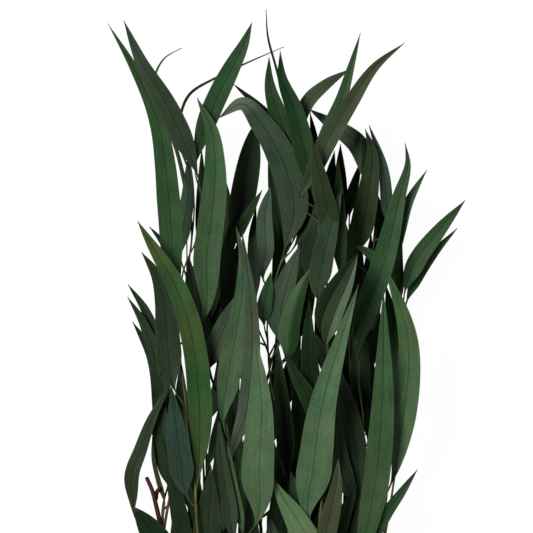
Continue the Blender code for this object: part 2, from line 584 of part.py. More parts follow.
def join(name, first, others):
    """One solid of the given name, from a first mesh and those that grow from it."""
    solid = bpy.data.objects.new(name, first)
    bpy.context.scene.collection.objects.link(solid)
    pieces = bpy.data.collections.new(name + "_pieces")
    bpy.context.scene.collection.children.link(pieces)
    for mesh in others:
        pieces.objects.link(bpy.data.objects.new("piece", mesh))
    union = solid.modifiers.new("grown_together", "BOOLEAN")
    union.operation = "UNION"
    union.operand_type = "COLLECTION"
    union.collection = pieces
    graph = bpy.context.evaluated_depsgraph_get()
    graph.update()
    fused = bpy.data.meshes.new_from_object(solid.evaluated_get(graph))
    solid.modifiers.clear()
    solid.data = fused
    for piece in list(pieces.objects):
        bpy.data.objects.remove(piece)
    bpy.data.collections.remove(pieces)
    return solid


def material(name, colour, roughness):
    made = bpy.data.materials.new(name)
    made.use_nodes = True
    shader = made.node_tree.nodes["Principled BSDF"]
    shader.inputs["Base Color"].default_value = (*colour, 1.0)
    shader.inputs["Roughness"].default_value = roughness
    shader.inputs["Metallic"].default_value = 0.0
    return made


def main():
    for thing in list(bpy.data.objects):
        bpy.data.objects.remove(thing)
    leaf_green = material("preserved_leaf", (0.035, 0.10, 0.045), 0.55)
    bark_brown = material("brown_wood", (0.10, 0.035, 0.018), 0.75)
    rng = random.Random(7)
    pile = Pile()
    twigs = {}
    for shoot in SHOOTS:
        solid, twigs[shoot.name] = build_shoot(shoot, pile, rng)
        solid.data.materials.append(leaf_green)
    build_wood(twigs).data.materials.append(bark_brown)


main()
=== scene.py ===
"""A cut branch of preserved long-leaved eucalyptus, laid down on a flat surface and seen from above.

+Y runs from the cut end to the leaf tips, +X to the right and +Z up from the surface. Lengths are in
millimetres until a mesh is made, in metres.
"""

import math
import random
from collections import namedtuple

import bmesh
import bpy
import numpy as np
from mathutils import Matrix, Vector
from mathutils.bvhtree import BVHTree


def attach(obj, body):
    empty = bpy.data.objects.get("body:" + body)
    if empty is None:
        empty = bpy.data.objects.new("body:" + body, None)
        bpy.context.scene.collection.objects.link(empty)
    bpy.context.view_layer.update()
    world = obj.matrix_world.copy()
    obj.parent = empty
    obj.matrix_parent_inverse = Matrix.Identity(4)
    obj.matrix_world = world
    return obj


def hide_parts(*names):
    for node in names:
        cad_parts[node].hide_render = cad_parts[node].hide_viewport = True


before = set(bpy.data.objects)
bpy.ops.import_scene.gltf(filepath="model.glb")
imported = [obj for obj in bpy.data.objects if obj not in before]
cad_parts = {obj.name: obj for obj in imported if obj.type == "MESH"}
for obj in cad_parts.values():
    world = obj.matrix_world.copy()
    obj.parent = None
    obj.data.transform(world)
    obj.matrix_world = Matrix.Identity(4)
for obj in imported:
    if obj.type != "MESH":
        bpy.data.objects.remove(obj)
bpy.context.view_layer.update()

# The lie of the leafy shoots.
# Eleven shoots grow from the arms of the wood and lie on one another. Each has a thin twig, and long
# sickle-shaped leaves that sag over the leaves beneath them. They are placed from the surface upwards.

METRES = 0.001
MM_PER_PIXEL = 0.70
PIXEL_X_OF_AXIS = 285
PIXEL_Y_OF_EDGE = 533
EDGE_FROM_ORIGIN = 280.0

# widest: where along the blade it is widest. taper: from 1, narrowing evenly from there, to 4, nearly as
# wide up to its tip. lift: how far it bends to clear its own shoot, and otherwise grows into it, in mm.
Leaf = namedtuple("Leaf", "midrib width roll tone widest taper lift", defaults=(0.28, 2.0, 12.0))
Shoot = namedtuple("Shoot", "name limb twig heights rise grown reach leaves bare", defaults=((),))
ON_SURFACE = ("shoot_back_left", "shoot_back_right")

# twig: the photograph's pixels that the twig passes, from its arm to its tip. heights: the twig above the
# surface at its start, middle and tip. rise: how far its leaf tips climb above their roots. grown and
# reach: how many leaves lie hidden, and over what share of the twig. bare: the pixels of its leafless side
# twigs. Each leaf has the pixels of its midrib from the blade's base to its tip, its greatest width, its
# roll in degrees and its tone.
SHOOTS = (
    Shoot("shoot_back_left", "left",
          ((240, 661), (215, 600), (206, 533), (203, 470), (199, 400), (192, 340), (187, 290), (186, 235)),
          (14, 9, 5), -6, 8, 0.78, (
              Leaf(((208, 350), (197, 312), (191, 282), (188, 255)), 14, 10, "d"),
              Leaf(((212, 362), (222, 322), (232, 282), (240, 236)), 18, -12, "d"),
              Leaf(((226, 262), (228, 222), (225, 195), (221, 168)), 12, 15, "d"),
              Leaf(((180, 258), (182, 228), (187, 198), (188, 152)), 12, 15, "e"),
              Leaf(((199, 252), (200, 225), (201, 190), (201, 148)), 9, 30, "d"),
              Leaf(((180, 302), (172, 266), (162, 243), (148, 226)), 8, 15, "d"),
              Leaf(((190, 250), (180, 165), (161, 104), (154, 75), (163, 57), (181, 46)), 4, 40, "o"),
              Leaf(((193, 190), (178, 125), (188, 94), (216, 76), (245, 62), (284, 45)), 2.6, 40, "o"),
              Leaf(((194, 520), (188, 465), (182, 415), (180, 360)), 17, 10, "e"),
              Leaf(((204, 600), (200, 560), (196, 510), (194, 455)), 16, -10, "d"),
          )),
    Shoot("shoot_back_right", "right",
          ((330, 661), (345, 600), (350, 533), (352, 470), (352, 400), (350, 340), (351, 280), (350, 225)),
          (14, 9, 5), -6, 8, 0.70, (
              Leaf(((352, 292), (347, 250), (341, 222), (336, 195)), 11, 20, "d"),
              Leaf(((343, 236), (335, 205), (331, 178), (335, 150)), 12, 10, "d"),
              Leaf(((350, 216), (352, 196), (357, 178), (362, 160)), 8, -20, "d"),
              Leaf(((394, 400), (396, 360), (393, 320), (387, 285)), 15, 15, "h"),
              Leaf(((368, 445), (370, 405), (368, 368), (362, 328)), 15, -15, "d"),
              Leaf(((358, 425), (360, 385), (360, 345), (355, 300)), 15, 12, "d"),
              Leaf(((350, 390), (348, 350), (347, 308), (351, 264)), 15, -10, "d"),
              Leaf(((371, 372), (373, 335), (370, 285), (372, 232)), 14, -12, "d"),
              Leaf(((376, 300), (382, 262), (383, 225), (377, 190)), 13, 10, "d"),
          )),
    Shoot("shoot_back_middle", "middle",
          ((282, 661), (268, 600), (261, 533), (258, 470), (262, 400), (270, 361), (257, 326), (247, 285),
           (238, 240)),
          (20, 20, 14), 0, 6, 0.80, (
              Leaf(((233, 328), (230, 290), (228, 260), (232, 215)), 14, -15, "d"),
              Leaf(((236, 238), (242, 200), (249, 160), (255, 122)), 18, -10, "d", 0.28, 3.5),
              Leaf(((232, 246), (240, 228), (250, 210), (262, 190)), 9, 25, "h"),
              Leaf(((256, 300), (254, 264), (253, 236), (256, 206)), 9, 10, "d"),
              Leaf(((246, 560), (247, 520), (245, 480), (243, 440)), 13, 12, "e"),
              Leaf(((300, 480), (300, 445), (298, 405), (301, 350)), 11, -12, "d"),
              Leaf(((284, 262), (280, 226), (274, 190), (268, 158)), 12, 10, "d"),
              Leaf(((281, 330), (281, 295), (279, 260), (274, 222)), 13, -10, "d"),
              Leaf(((294, 345), (302, 305), (308, 265), (310, 225)), 17, 10, "d"),
          )),
    Shoot("shoot_left_outer", "left",
          ((232, 661), (190, 605), (166, 545), (162, 510), (170, 475), (168, 440), (162, 405), (157, 385)),
          (24, 24, 18), 4, 2, 0.30, (
              Leaf(((186, 596), (168, 560), (149, 530), (133, 507)), 21, 8, "d", 0.4, 2.6),
              Leaf(((172, 500), (164, 452), (160, 415), (164, 380)), 15, -10, "e"),
              Leaf(((160, 376), (155, 345), (145, 312), (127, 284)), 9, -10, "e"),
              Leaf(((158, 388), (152, 350), (142, 322), (127, 297)), 9, 15, "e"),
              Leaf(((164, 470), (163, 410), (154, 360), (132, 322)), 16, -12, "e"),
              Leaf(((164, 505), (158, 482), (153, 460), (152, 437)), 5, 40, "o"),
              Leaf(((134, 517), (132, 498), (131, 477), (140, 450), (151, 420), (171, 383)), 10.5, 12, "n"),
              Leaf(((186, 610), (183, 570), (180, 530), (178, 488)), 19, 8, "e"),
          ),
          (((163, 540), (156, 508), (152, 492), (146, 478)), ((155, 500), (156, 494), (160, 488)))),
    Shoot("shoot_right_outer", "right",
          ((347, 661), (372, 600), (386, 533), (396, 470), (402, 410), (404, 350), (405, 312)),
          (24, 24, 18), 4, 3, 0.50, (
              Leaf(((401, 305), (397, 272), (398, 243), (404, 214)), 11, 8, "g"),
              Leaf(((407, 303), (418, 278), (436, 252), (458, 228)), 8, -15, "g"),
              Leaf(((405, 293), (416, 262), (438, 232), (466, 200)), 13, 10, "g"),
          )),
    Shoot("shoot_right_middle", "right",
          ((340, 661), (352, 600), (358, 533), (363, 470), (363, 415), (359, 380), (362, 340), (367, 290),
           (373, 250), (379, 218)),
          (36, 34, 34), 6, 3, 0.40, (
              Leaf(((345, 560), (352, 532), (356, 515), (360, 498)), 10, 10, "d"),
              Leaf(((336, 548), (343, 517), (350, 499), (356, 484)), 11, -10, "d"),
              Leaf(((374, 219), (368, 184), (365, 159), (362, 134)), 8, 20, "d"),
              Leaf(((390, 234), (387, 205), (383, 168), (369, 125)), 9, -12, "b"),
              Leaf(((356, 262), (363, 222), (370, 180), (372, 152), (365, 129)), 17, 8, "n"),
              Leaf(((372, 212), (370, 172), (358, 144), (335, 126), (309, 109)), 15, 10, "a", 0.45),
              Leaf(((385, 270), (375, 258), (366, 251), (354, 244)), 8, 10, "m"),
              Leaf(((390, 265), (399, 232), (408, 203), (417, 186), (427, 170)), 9, 12, "g"),
              Leaf(((360, 497), (351, 420), (325, 356), (298, 313)), 15, -10, "e"),
              Leaf(((357, 363), (366, 315), (384, 262), (400, 195), (408, 162), (405, 143)), 17, 10, "g"),
          )),
    Shoot("shoot_middle", "middle",
          ((287, 661), (289, 600), (289, 533), (288, 485), (282, 430), (272, 390), (268, 350), (268, 312),
           (273, 290), (280, 265), (292, 243), (303, 220)),
          (42, 42, 40), 8, 3, 0.45, (
              Leaf(((306, 560), (303, 528), (297, 498), (290, 470)), 15, 10, "e"),
              Leaf(((272, 612), (277, 578), (274, 545), (267, 512)), 16, -10, "e"),
              Leaf(((298, 175), (289, 118), (275, 64), (268, 38), (266, 10)), 5, 65, "n"),
              Leaf(((303, 200), (296, 160), (280, 118), (270, 85), (269, 57)), 16, 10, "h"),
              Leaf(((279, 345), (281, 310), (288, 280), (300, 245)), 18, 12, "c"),
              Leaf(((264, 325), (264, 308), (267, 291), (271, 272)), 11, -10, "g"),
              Leaf(((264, 282), (266, 248), (265, 216), (270, 187)), 12, -8, "b", 0.35, 3.2),
              Leaf(((306, 285), (312, 248), (320, 212), (326, 172)), 15, 10, "d"),
              Leaf(((292, 250), (308, 205), (292, 150), (262, 110), (232, 83)), 14, 10, "d"),
              Leaf(((284, 251), (294, 205), (284, 164), (261, 123), (243, 104), (219, 118)), 21, -8, "cca",
                   0.28, 2.8),
              # a lighter left half and a darker right half: painted light and shade on the two sides of the
              # fold
              Leaf(((284, 362), (289, 325), (299, 292), (312, 266)), 16, 25, "mh"),
              Leaf(((288, 478), (284, 430), (280, 385), (277, 343)), 13, 10, "n"),
              Leaf(((306, 180), (303, 150), (300, 122), (309, 101), (325, 86), (349, 70)), 10, 15, "o", 0.6),
          )),
    Shoot("shoot_right_inner", "middle",
          ((316, 661), (318, 600), (318, 540), (325, 470), (330, 410), (329, 360), (324, 310), (320, 255),
           (318, 205), (317, 172)),
          (54, 50, 48), 8, 0, 0.0, (
              Leaf(((318, 640), (312, 605), (306, 575), (304, 545)), 14, -12, "e"),
              Leaf(((322, 630), (330, 600), (336, 570), (338, 545)), 14, 12, "e"),
              Leaf(((314, 425), (311, 385), (308, 345), (309, 300)), 14, -10, "d"),
              Leaf(((325, 440), (312, 405), (297, 378), (283, 350)), 13, 10, "d"),
              Leaf(((338, 280), (339, 245), (339, 205), (337, 158)), 10, -12, "d"),
              Leaf(((330, 245), (328, 215), (321, 185), (312, 140)), 15, 12, "n"),
              Leaf(((304, 200), (316, 165), (328, 130), (341, 100), (351, 66), (360, 34)), 10.5, 12, "g"),
              Leaf(((300, 205), (312, 172), (330, 136), (350, 103), (375, 67), (404, 44)), 13, -10, "o"),
              Leaf(((322, 336), (325, 310), (340, 280), (358, 253)), 15, -12, "n"),
              Leaf(((326, 347), (333, 315), (346, 285), (357, 256)), 13, 12, "ea"),
              Leaf(((319, 302), (322, 265), (331, 225), (341, 190)), 16, 10, "e"),
              Leaf(((313, 195), (306, 158), (294, 110), (282, 78), (280, 52)), 15, -10, "h"),
              Leaf(((320, 562), (328, 520), (335, 490), (338, 458)), 14, 10, "o"),
              Leaf(((322, 568), (308, 539), (293, 513), (281, 494), (273, 478)), 19, 8, "p"),
              Leaf(((310, 522), (314, 465), (323, 400), (340, 340), (358, 284)), 25, -6, "q", 0.22, 1.3, 30),
          )),
    Shoot("shoot_left_inner", "left",
          ((255, 661), (249, 600), (243, 540), (238, 480), (230, 440), (221, 405), (213, 382), (206, 350)),
          (54, 50, 44), 8, 0, 0.0, (
              Leaf(((253, 640), (258, 605), (262, 575), (262, 545)), 14, 10, "e"),
              Leaf(((247, 625), (238, 595), (232, 570), (230, 545)), 13, -12, "e"),
              Leaf(((212, 575), (208, 535), (210, 498), (211, 466)), 20, 10, "n"),
              Leaf(((209, 371), (217, 345), (228, 320), (246, 285)), 16, 12, "c"),
              Leaf(((254, 526), (259, 465), (261, 400), (255, 338)), 23, 6, "q"),
              Leaf(((243, 535), (236, 500), (231, 470), (228, 440)), 8, 15, "m"),
              Leaf(((236, 545), (228, 500), (221, 455), (218, 420)), 11, -15, "c"),
              Leaf(((224, 428), (227, 385), (237, 330), (243, 288), (243, 258), (236, 227)), 17, -10, "q"),
              Leaf(((232, 466), (246, 410), (252, 320), (242, 231)), 13, 12, "c"),
          )),
    Shoot("shoot_left_front", "left",
          ((247, 661), (215, 600), (198, 533), (195, 479), (190, 433), (184, 388), (178, 330), (180, 290),
           (186, 262), (194, 246), (200, 225), (203, 186)),
          (58, 50, 44), 8, 0, 0.0, (
              Leaf(((232, 645), (222, 610), (214, 580), (208, 545)), 14, -10, "e"),
              Leaf(((176, 392), (168, 345), (165, 305), (158, 278), (142, 252)), 18, -10, "e"),
              Leaf(((188, 497), (181, 462), (176, 425), (172, 386)), 17, 8, "z"),
              Leaf(((179, 350), (174, 290), (170, 205), (155, 112), (132, 64), (108, 24)), 17, -8, "g",
                   0.4, 1.5),
              Leaf(((198, 177), (183, 140), (164, 101), (143, 66), (124, 21)), 15, 10, "e"),
              Leaf(((195, 170), (203, 135), (216, 102), (232, 69), (244, 45), (252, 23)), 14.5, -8, "g",
                   0.38, 2.5),
              Leaf(((200, 325), (207, 255), (215, 165), (212, 132), (197, 98)), 19, 6, "m", 0.3, 2.6),
              Leaf(((197, 486), (200, 405), (184, 305), (138, 221)), 17, -8, "y", 0.28, 3.5),
          )),
    Shoot("shoot_right_front", "right",
          ((344, 661), (366, 600), (371, 545), (381, 500), (393, 455), (401, 430)),
          (60, 52, 46), 8, 0, 0.0, (
              Leaf(((356, 640), (366, 610), (374, 580), (378, 548)), 14, 10, "e"),
              Leaf(((389, 488), (401, 428), (407, 335), (385, 266)), 18, 10, "m", 0.35),
              Leaf(((372, 548), (386, 514), (402, 491), (417, 469)), 9, -15, "g"),
              Leaf(((353, 590), (364, 540), (375, 482), (381, 420), (383, 350), (383, 292)), 18.5, -8, "m",
                   0.38),
          )),
)


def to_row(pixels):
    """Pixels of the photograph as x, y in the row frame, in mm."""
    columns, lines = np.array(pixels, float).T
    x = (columns - PIXEL_X_OF_AXIS) * MM_PER_PIXEL
    y = EDGE_FROM_ORIGIN + (PIXEL_Y_OF_EDGE - lines) * MM_PER_PIXEL
    return np.stack([x, y], 1)


def path_length(path):
    return float(np.linalg.norm(np.diff(path, axis=0), axis=1).sum())


def unit(vectors):
    return vectors / np.linalg.norm(vectors, axis=-1, keepdims=True)


def at_shares(path, shares):
    """The points of a path at the given shares of its length."""
    run = np.concatenate([[0.0], np.cumsum(np.linalg.norm(np.diff(path, axis=0), axis=1))])
    where = np.array(shares) * run[-1]
    return np.stack([np.interp(where, run, axis) for axis in path.T], 1)


def at_rows(rows, shares):
    """Rows that stand at even shares, read at other shares."""
    even = np.linspace(0.0, 1.0, len(rows))
    return np.stack([np.interp(shares, even, axis) for axis in rows.T], 1)


CURVE_FINENESS = 12


def smooth_path(points, count):
    """Points spaced evenly along a smooth curve through the given ones."""
    points = np.array(points, float)
    steps = np.linalg.norm(np.diff(points, axis=0), axis=1)
    knots = np.concatenate([[0.0], np.cumsum(steps)])
    slopes = np.gradient(points, knots, axis=0)
    where = np.linspace(0.0, knots[-1], CURVE_FINENESS * count)
    span = np.clip(np.searchsorted(knots, where, side="right") - 1, 0, len(steps) - 1)
    length = steps[span][:, None]
    t = (where[:, None] - knots[span][:, None]) / length
    curve = (
        (2 * t**3 - 3 * t**2 + 1) * points[span]
        + (t**3 - 2 * t**2 + t) * length * slopes[span]
        + (3 * t**2 - 2 * t**3) * points[span + 1]
        + (t**3 - t**2) * length * slopes[span + 1]
    )
    return at_shares(curve, np.linspace(0.0, 1.0, count))


ABOVE_ALL = 900.0


class Pile:
    """The surfaces of the pieces placed so far, read from above."""

    def __init__(self):
        self.points = []
        self.faces = []
        self.tree = None

    def add(self, mesh):
        first = len(self.points)
        self.points += [v.co / METRES for v in mesh.vertices]
        self.faces += [[first + k for k in p.vertices] for p in mesh.polygons]
        self.tree = BVHTree.FromPolygons(self.points, self.faces)

    def top(self, spots):
        """The height of the pile at each x, y of an array, and minus infinity where nothing lies."""
        heights = np.full(spots.shape[:-1], -np.inf)
        if self.tree is None:
            return heights
        for index in np.ndindex(heights.shape):
            x, y = spots[index]
            hit = self.tree.ray_cast(Vector((x, y, ABOVE_ALL)), Vector((0.0, 0.0, -1.0)))[0]
            if hit is not None:
                heights[index] = hit.z
        return heights


TWIG_START_RADIUS = 2.3
TWIG_GAP = 2.0
TWIG_END_DROP = 0.5
SMOOTHING_PASSES = 60


def drape_twig(flat, heights, pile):
    """A twig's x, y points with heights: its own line, lifted smoothly over what lies beneath."""
    shares = np.linspace(0.0, 1.0, len(flat))
    own = np.interp(shares, (0.0, 0.5, 1.0), heights)
    along = unit(np.gradient(flat, axis=0))
    side = np.stack([-along[:, 1], along[:, 0]], 1) * TWIG_START_RADIUS
    spots = np.stack([flat - side, flat, flat + side], 1)
    beneath = pile.top(spots).max(axis=1) + TWIG_START_RADIUS + TWIG_GAP
    lifted = np.maximum(own, beneath)
    for _ in range(SMOOTHING_PASSES):
        middle = 0.5 * (lifted[:-2] + lifted[2:])
        lifted[1:-1] = np.maximum(lifted[1:-1], middle)
        lifted[-1] = max(lifted[-1], lifted[-2] - TWIG_END_DROP)
    return np.column_stack([flat, lifted])


BASE_FULLNESS = 1.25         # how sharply the blade narrows into its stalk
BLADE_MIDDLE = 0.5
STALK_WIDTH = 1.7
TIP_WIDTH = 1.3


def blade_widths(shares, stalk, leaf, stalk_width=STALK_WIDTH, tip_width=TIP_WIDTH):
    """The leaf's width at shares of its length, of which the stalk takes the first part."""
    blade = np.clip((shares - stalk) / (1 - stalk), 0.0, 1.0)
    rising = np.sin(0.5 * math.pi * np.minimum(1.0, blade / leaf.widest)) ** BASE_FULLNESS
    falling = 1 - np.maximum(0.0, (blade - leaf.widest) / (1 - leaf.widest)) ** leaf.taper
    least = np.where(blade > BLADE_MIDDLE, tip_width, stalk_width)
    return np.maximum(leaf.width * rising * falling, least)


ROLL_SHARE = 0.2             # the share of a leaf's length over which it turns to its roll


def leaf_sides(spine, roll):
    """Unit vectors across the leaf, and out of its upper face, along its spine."""
    along = unit(np.gradient(spine, axis=0))
    level = unit(np.stack([along[:, 1], -along[:, 0], np.zeros(len(along))], 1))
    up = np.cross(level, along)
    shares = np.linspace(0.0, 1.0, len(spine))
    turn = (np.radians(roll) * np.minimum(1.0, shares / ROLL_SHARE))[:, None]
    across = level * np.cos(turn) + up * np.sin(turn)
    return across, np.cross(across, along)


SIDE_GAP = 1.0
COLUMNS_FELT = 7


def leaf_strip(path, stalk, leaf, shares):
    """Rows of points across a level leaf at the given shares, its z only from the leaf's roll."""
    flat = at_shares(path, shares)
    across = leaf_sides(np.column_stack([path, 0 * path[:, 0]]), leaf.roll)[0]
    across = unit(at_rows(across, shares))
    half = 0.5 * blade_widths(shares, stalk, leaf) + SIDE_GAP
    offsets = np.linspace(-1.0, 1.0, COLUMNS_FELT)[None, :, None] * (half[:, None] * across)[:, None, :]
    return np.column_stack([flat, 0 * shares])[:, None, :] + offsets


STALK_REACH = 12.0           # how far below a blade its stalk leaves the twig
LEAF_POINTS = 60
ROW_SPACING = 1.2
SOLID_THICKNESS = 0.7
FOLD_SHARE = 0.05            # how deep the midrib lies, as a share of the blade's width
PILE_GAP = 1.6
OWN_GAP = 1.2
FREE_SHARE = 0.12
LIFT_STEP = 3.0
LIFT_STEPS = 24
SINK_STEPS = 4
ARCH_COST = 1.3


def drape_leaf(leaf, twig, pile, own, rise, stations):
    """The leaf's spine, clear above the pile and where it can above its own shoot, and its stalk's share.

    It climbs by rise from its root to its tip, and as much more, or with as much of an arch, as clears
    what lies beneath. The smooth leaf and the one that is straight between the stations both clear it.
    """
    base = leaf.midrib[0]
    aside = np.linalg.norm(twig[:, :2] - base, axis=1)
    nearest = int(np.argmin(aside))
    step = path_length(twig) / (len(twig) - 1)
    root = twig[max(1, nearest - round(max(STALK_REACH, aside[nearest]) / step))]
    path = smooth_path([root[:2], *leaf.midrib], LEAF_POINTS)
    stalk = float(np.linalg.norm(root[:2] - base)) / path_length(path)

    shares = np.linspace(0.0, 1.0, round(path_length(path) / ROW_SPACING))
    knots = np.concatenate([[0.0], stalk + (1 - stalk) * np.array(stations)])
    smooth = leaf_strip(path, stalk, leaf, shares)
    corners = leaf_strip(path, stalk, leaf, knots)
    columns = corners.swapaxes(0, 1)
    straight = np.array([[np.interp(shares, knots, axis) for axis in column.T] for column in columns])
    rows = np.concatenate([smooth, straight.transpose(2, 0, 1)], axis=1)
    drop = SOLID_THICKNESS - rows[:, :, 2]
    above_pile = (pile.top(rows[:, :, :2]) + PILE_GAP + drop).max(axis=1)
    above_floor = (FOLD_SHARE * leaf.width + drop).max(axis=1)
    above_own = (own.top(rows[:, :, :2]) + OWN_GAP + drop).max(axis=1)
    above_own[shares < stalk + FREE_SHARE] = -np.inf
    needed = np.maximum(above_pile, above_floor)

    steps = np.arange(-SINK_STEPS, LIFT_STEPS) * LIFT_STEP
    arches = steps[SINK_STEPS // 2:]
    choices = sorted((more**2 + ARCH_COST * arch**2, more, arch) for more in steps for arch in arches)
    for limit, most in ((np.maximum(needed, above_own), leaf.lift), (needed, np.inf)):
        for cost, more, arch in choices:
            if cost > most**2:
                break
            height = root[2] + (rise + more) * shares + 4.0 * arch * shares * (1 - shares)
            lowest = np.minimum(height, np.interp(shares, knots, np.interp(knots, shares, height)))
            if (lowest >= limit)[1:].all():
                return np.column_stack([at_shares(path, shares), height]), stalk
    raise ValueError(f"no way over the pile for the leaf at {leaf.midrib[0]}")


def leaf_solid(leaf, spine, stalk, stations):
    """The plain leaf of the fused solids, which stands in the pile for its shoot while it is laid."""
    shares = np.concatenate([[0.0], stalk + (1 - stalk) * np.array(stations)])
    centre = at_rows(spine, shares)
    across, out = (unit(at_rows(rows, shares)) for rows in leaf_sides(spine, leaf.roll))
    width = blade_widths(shares, stalk, leaf)
    last = len(shares) - 1
    bm = bmesh.new()
    bmesh.ops.create_grid(bm, x_segments=2, y_segments=last, size=1.0)
    bmesh.ops.triangulate(bm, faces=bm.faces[:], quad_method="FIXED")
    row = bm.verts.layers.int.new("row")
    for v in bm.verts:
        side = round(v.co.x)
        k = round((v.co.y + 1) / 2 * last)
        v[row] = k
        fold = FOLD_SHARE * width[k] * (abs(side) - 1)
        v.co = Vector(centre[k] + across[k] * side * width[k] / 2 + out[k] * (fold + SOLID_THICKNESS / 2))
    under = bmesh.ops.extrude_face_region(bm, geom=bm.faces[:], use_keep_orig=True)["geom"]
    for v in (g for g in under if isinstance(g, bmesh.types.BMVert)):
        v.co -= Vector(out[v[row]]) * SOLID_THICKNESS
    bmesh.ops.scale(bm, vec=(METRES, METRES, METRES), verts=bm.verts[:])
    mesh = bpy.data.meshes.new("leaf_solid")
    bm.to_mesh(mesh)
    bm.free()
    return mesh


def rod(path, radii, resolution):
    """A bmesh of a round rod along a path, with a radius at each of its points and closed ends."""
    curve = bpy.data.curves.new("rod", "CURVE")
    curve.dimensions = "3D"
    curve.bevel_depth = METRES
    curve.bevel_resolution = resolution
    curve.use_fill_caps = True
    spline = curve.splines.new("POLY")
    spline.points.add(len(path) - 1)
    for point, place, radius in zip(spline.points, path, radii):
        point.co = (*(place * METRES), 1.0)
        point.radius = radius
    guide = bpy.data.objects.new("rod", curve)
    bm = bmesh.new()
    bm.from_mesh(bpy.data.meshes.new_from_object(guide))
    bpy.data.objects.remove(guide)
    bmesh.ops.remove_doubles(bm, verts=bm.verts[:], dist=1e-6)
    return bm


GROWN_LENGTHS = (85.0, 125.0)
GROWN_WIDTHS = (12.0, 18.0)
GROWN_TURNS = (10.0, 22.0)   # degrees from the twig
GROWN_STATIONS = (0.0, 0.26, 0.62, 1.0)
GROWN_ROLLS = (8, 25)
GROWN_BOWS = (0.02, 0.07)
GROWN_FROM = 0.03
SWEEP_MIDDLE = 0.8
SWEEP_TIP = 0.5
TIP_HOOK = 0.12
GROWN_SPREAD = 0.3
GROWN_PARTS = (0.33, 0.36, 0.32)
CLUMP_MIDDLE_X = 3.0
CLUMP_HALF_WIDTH = 80.0
GROWN_TONES = "ddeg"


def grown_leaves(shoot, twig, rng):
    """Leaves that the photograph hides, on alternate sides of the twig and swept towards its tip."""
    leaves = []
    along = unit(np.gradient(twig[:, :2], axis=0))
    for i in range(shoot.grown):
        index = round((GROWN_FROM + shoot.reach * i / shoot.grown) * (len(twig) - 1))
        forward = along[index]
        aside = np.array([forward[1], -forward[0]])
        side = 1 if i % 2 else -1
        length = rng.uniform(*GROWN_LENGTHS)
        beyond = twig[index, 0] + length * (forward + GROWN_SPREAD * side * aside)[0] - CLUMP_MIDDLE_X
        if abs(beyond) > CLUMP_HALF_WIDTH:
            side = -int(np.sign(beyond))
        turn = math.radians(side * rng.uniform(*GROWN_TURNS))
        heading = forward * math.cos(turn) + aside * math.sin(turn)
        swept = unit(heading + np.array([0.0, SWEEP_MIDDLE]))
        bow = side * aside * length * rng.uniform(*GROWN_BOWS)
        base = twig[index, :2] + heading * STALK_REACH
        belly = base + heading * length * GROWN_PARTS[0] + bow
        shoulder = belly + swept * length * GROWN_PARTS[1]
        tipwards = unit(swept + np.array([-TIP_HOOK * side, SWEEP_TIP]))
        tip = shoulder + tipwards * length * GROWN_PARTS[2]
        midrib = np.array([base, belly, shoulder, tip])
        width = rng.uniform(*GROWN_WIDTHS)
        roll = side * rng.uniform(*GROWN_ROLLS)
        leaves.append(Leaf(midrib, width, roll, GROWN_TONES[i % len(GROWN_TONES)]))
    return leaves


TWIG_POINTS = 40
TWIG_JOINTS = 14
TWIG_END_RADIUS = 1.0
RISE_VARIATION = (-3, 5)

# Small leaves in a near-black tone, seen only through gaps between the others; their darkness is painted shade
# deep in the pile. They are laid last in their shoot.
FAR_SHADE_TONE = "k"
FAR_LEAVES = {
    "shoot_back_right": (Leaf(((341, 240), (341, 205), (341, 175), (341, 143)), 12, 10, FAR_SHADE_TONE),
                         Leaf(((354, 322), (357, 290), (359, 265), (361, 235)), 12, -10, FAR_SHADE_TONE)),
    "shoot_back_middle": (Leaf(((283, 412), (288, 385), (294, 360), (301, 332)), 12, 10, FAR_SHADE_TONE),
                          Leaf(((286, 500), (290, 480), (294, 462), (297, 440)), 9, -10, FAR_SHADE_TONE)),
    "shoot_middle": (Leaf(((306, 205), (311, 175), (314, 145), (310, 112)), 9, 10, FAR_SHADE_TONE),),
}


def lay_shoot(shoot, pile, rng):
    """Where a shoot lies: its twig's path, and each leaf with its spine and the share of its stalk."""
    twig = drape_twig(smooth_path(to_row(shoot.twig), TWIG_POINTS), shoot.heights, pile)
    joints = at_shares(twig, np.linspace(0.0, 1.0, TWIG_JOINTS))
    rod_bm = rod(joints, np.linspace(TWIG_START_RADIUS, TWIG_END_RADIUS, TWIG_JOINTS), 1)
    core = bpy.data.meshes.new("core")
    rod_bm.to_mesh(core)
    rod_bm.free()
    own = Pile()
    own.add(core)
    placed = (*shoot.leaves, *FAR_LEAVES.get(shoot.name, ()))
    seen = [leaf._replace(midrib=to_row(leaf.midrib)) for leaf in placed]
    ordered = [(leaf, GROWN_STATIONS) for leaf in grown_leaves(shoot, twig, rng)]
    ordered += [(leaf, np.linspace(0.0, 1.0, 2 * len(leaf.midrib) - 3)) for leaf in seen]
    laid = []
    for leaf, stations in ordered:
        rise = shoot.rise + (0.0 if leaf.tone == FAR_SHADE_TONE else rng.uniform(*RISE_VARIATION))
        spine, stalk = drape_leaf(leaf, twig, pile, own, rise, stations)
        own.add(leaf_solid(leaf, spine, stalk, stations))
        laid.append((leaf, spine, stalk))
    if shoot.name in ON_SURFACE:
        sunk = min(point.z for point in own.points)
        twig[:, 2] -= sunk
        for _, spine, _ in laid:
            spine[:, 2] -= sunk
    pile.add(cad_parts[shoot.name].data)
    return twig, laid


# Leaf blades.
# A preserved eucalyptus leaf is a thin, leathery blade with a satin face. It is folded a little along
# its sunken midrib, and its margins wave where it dried.

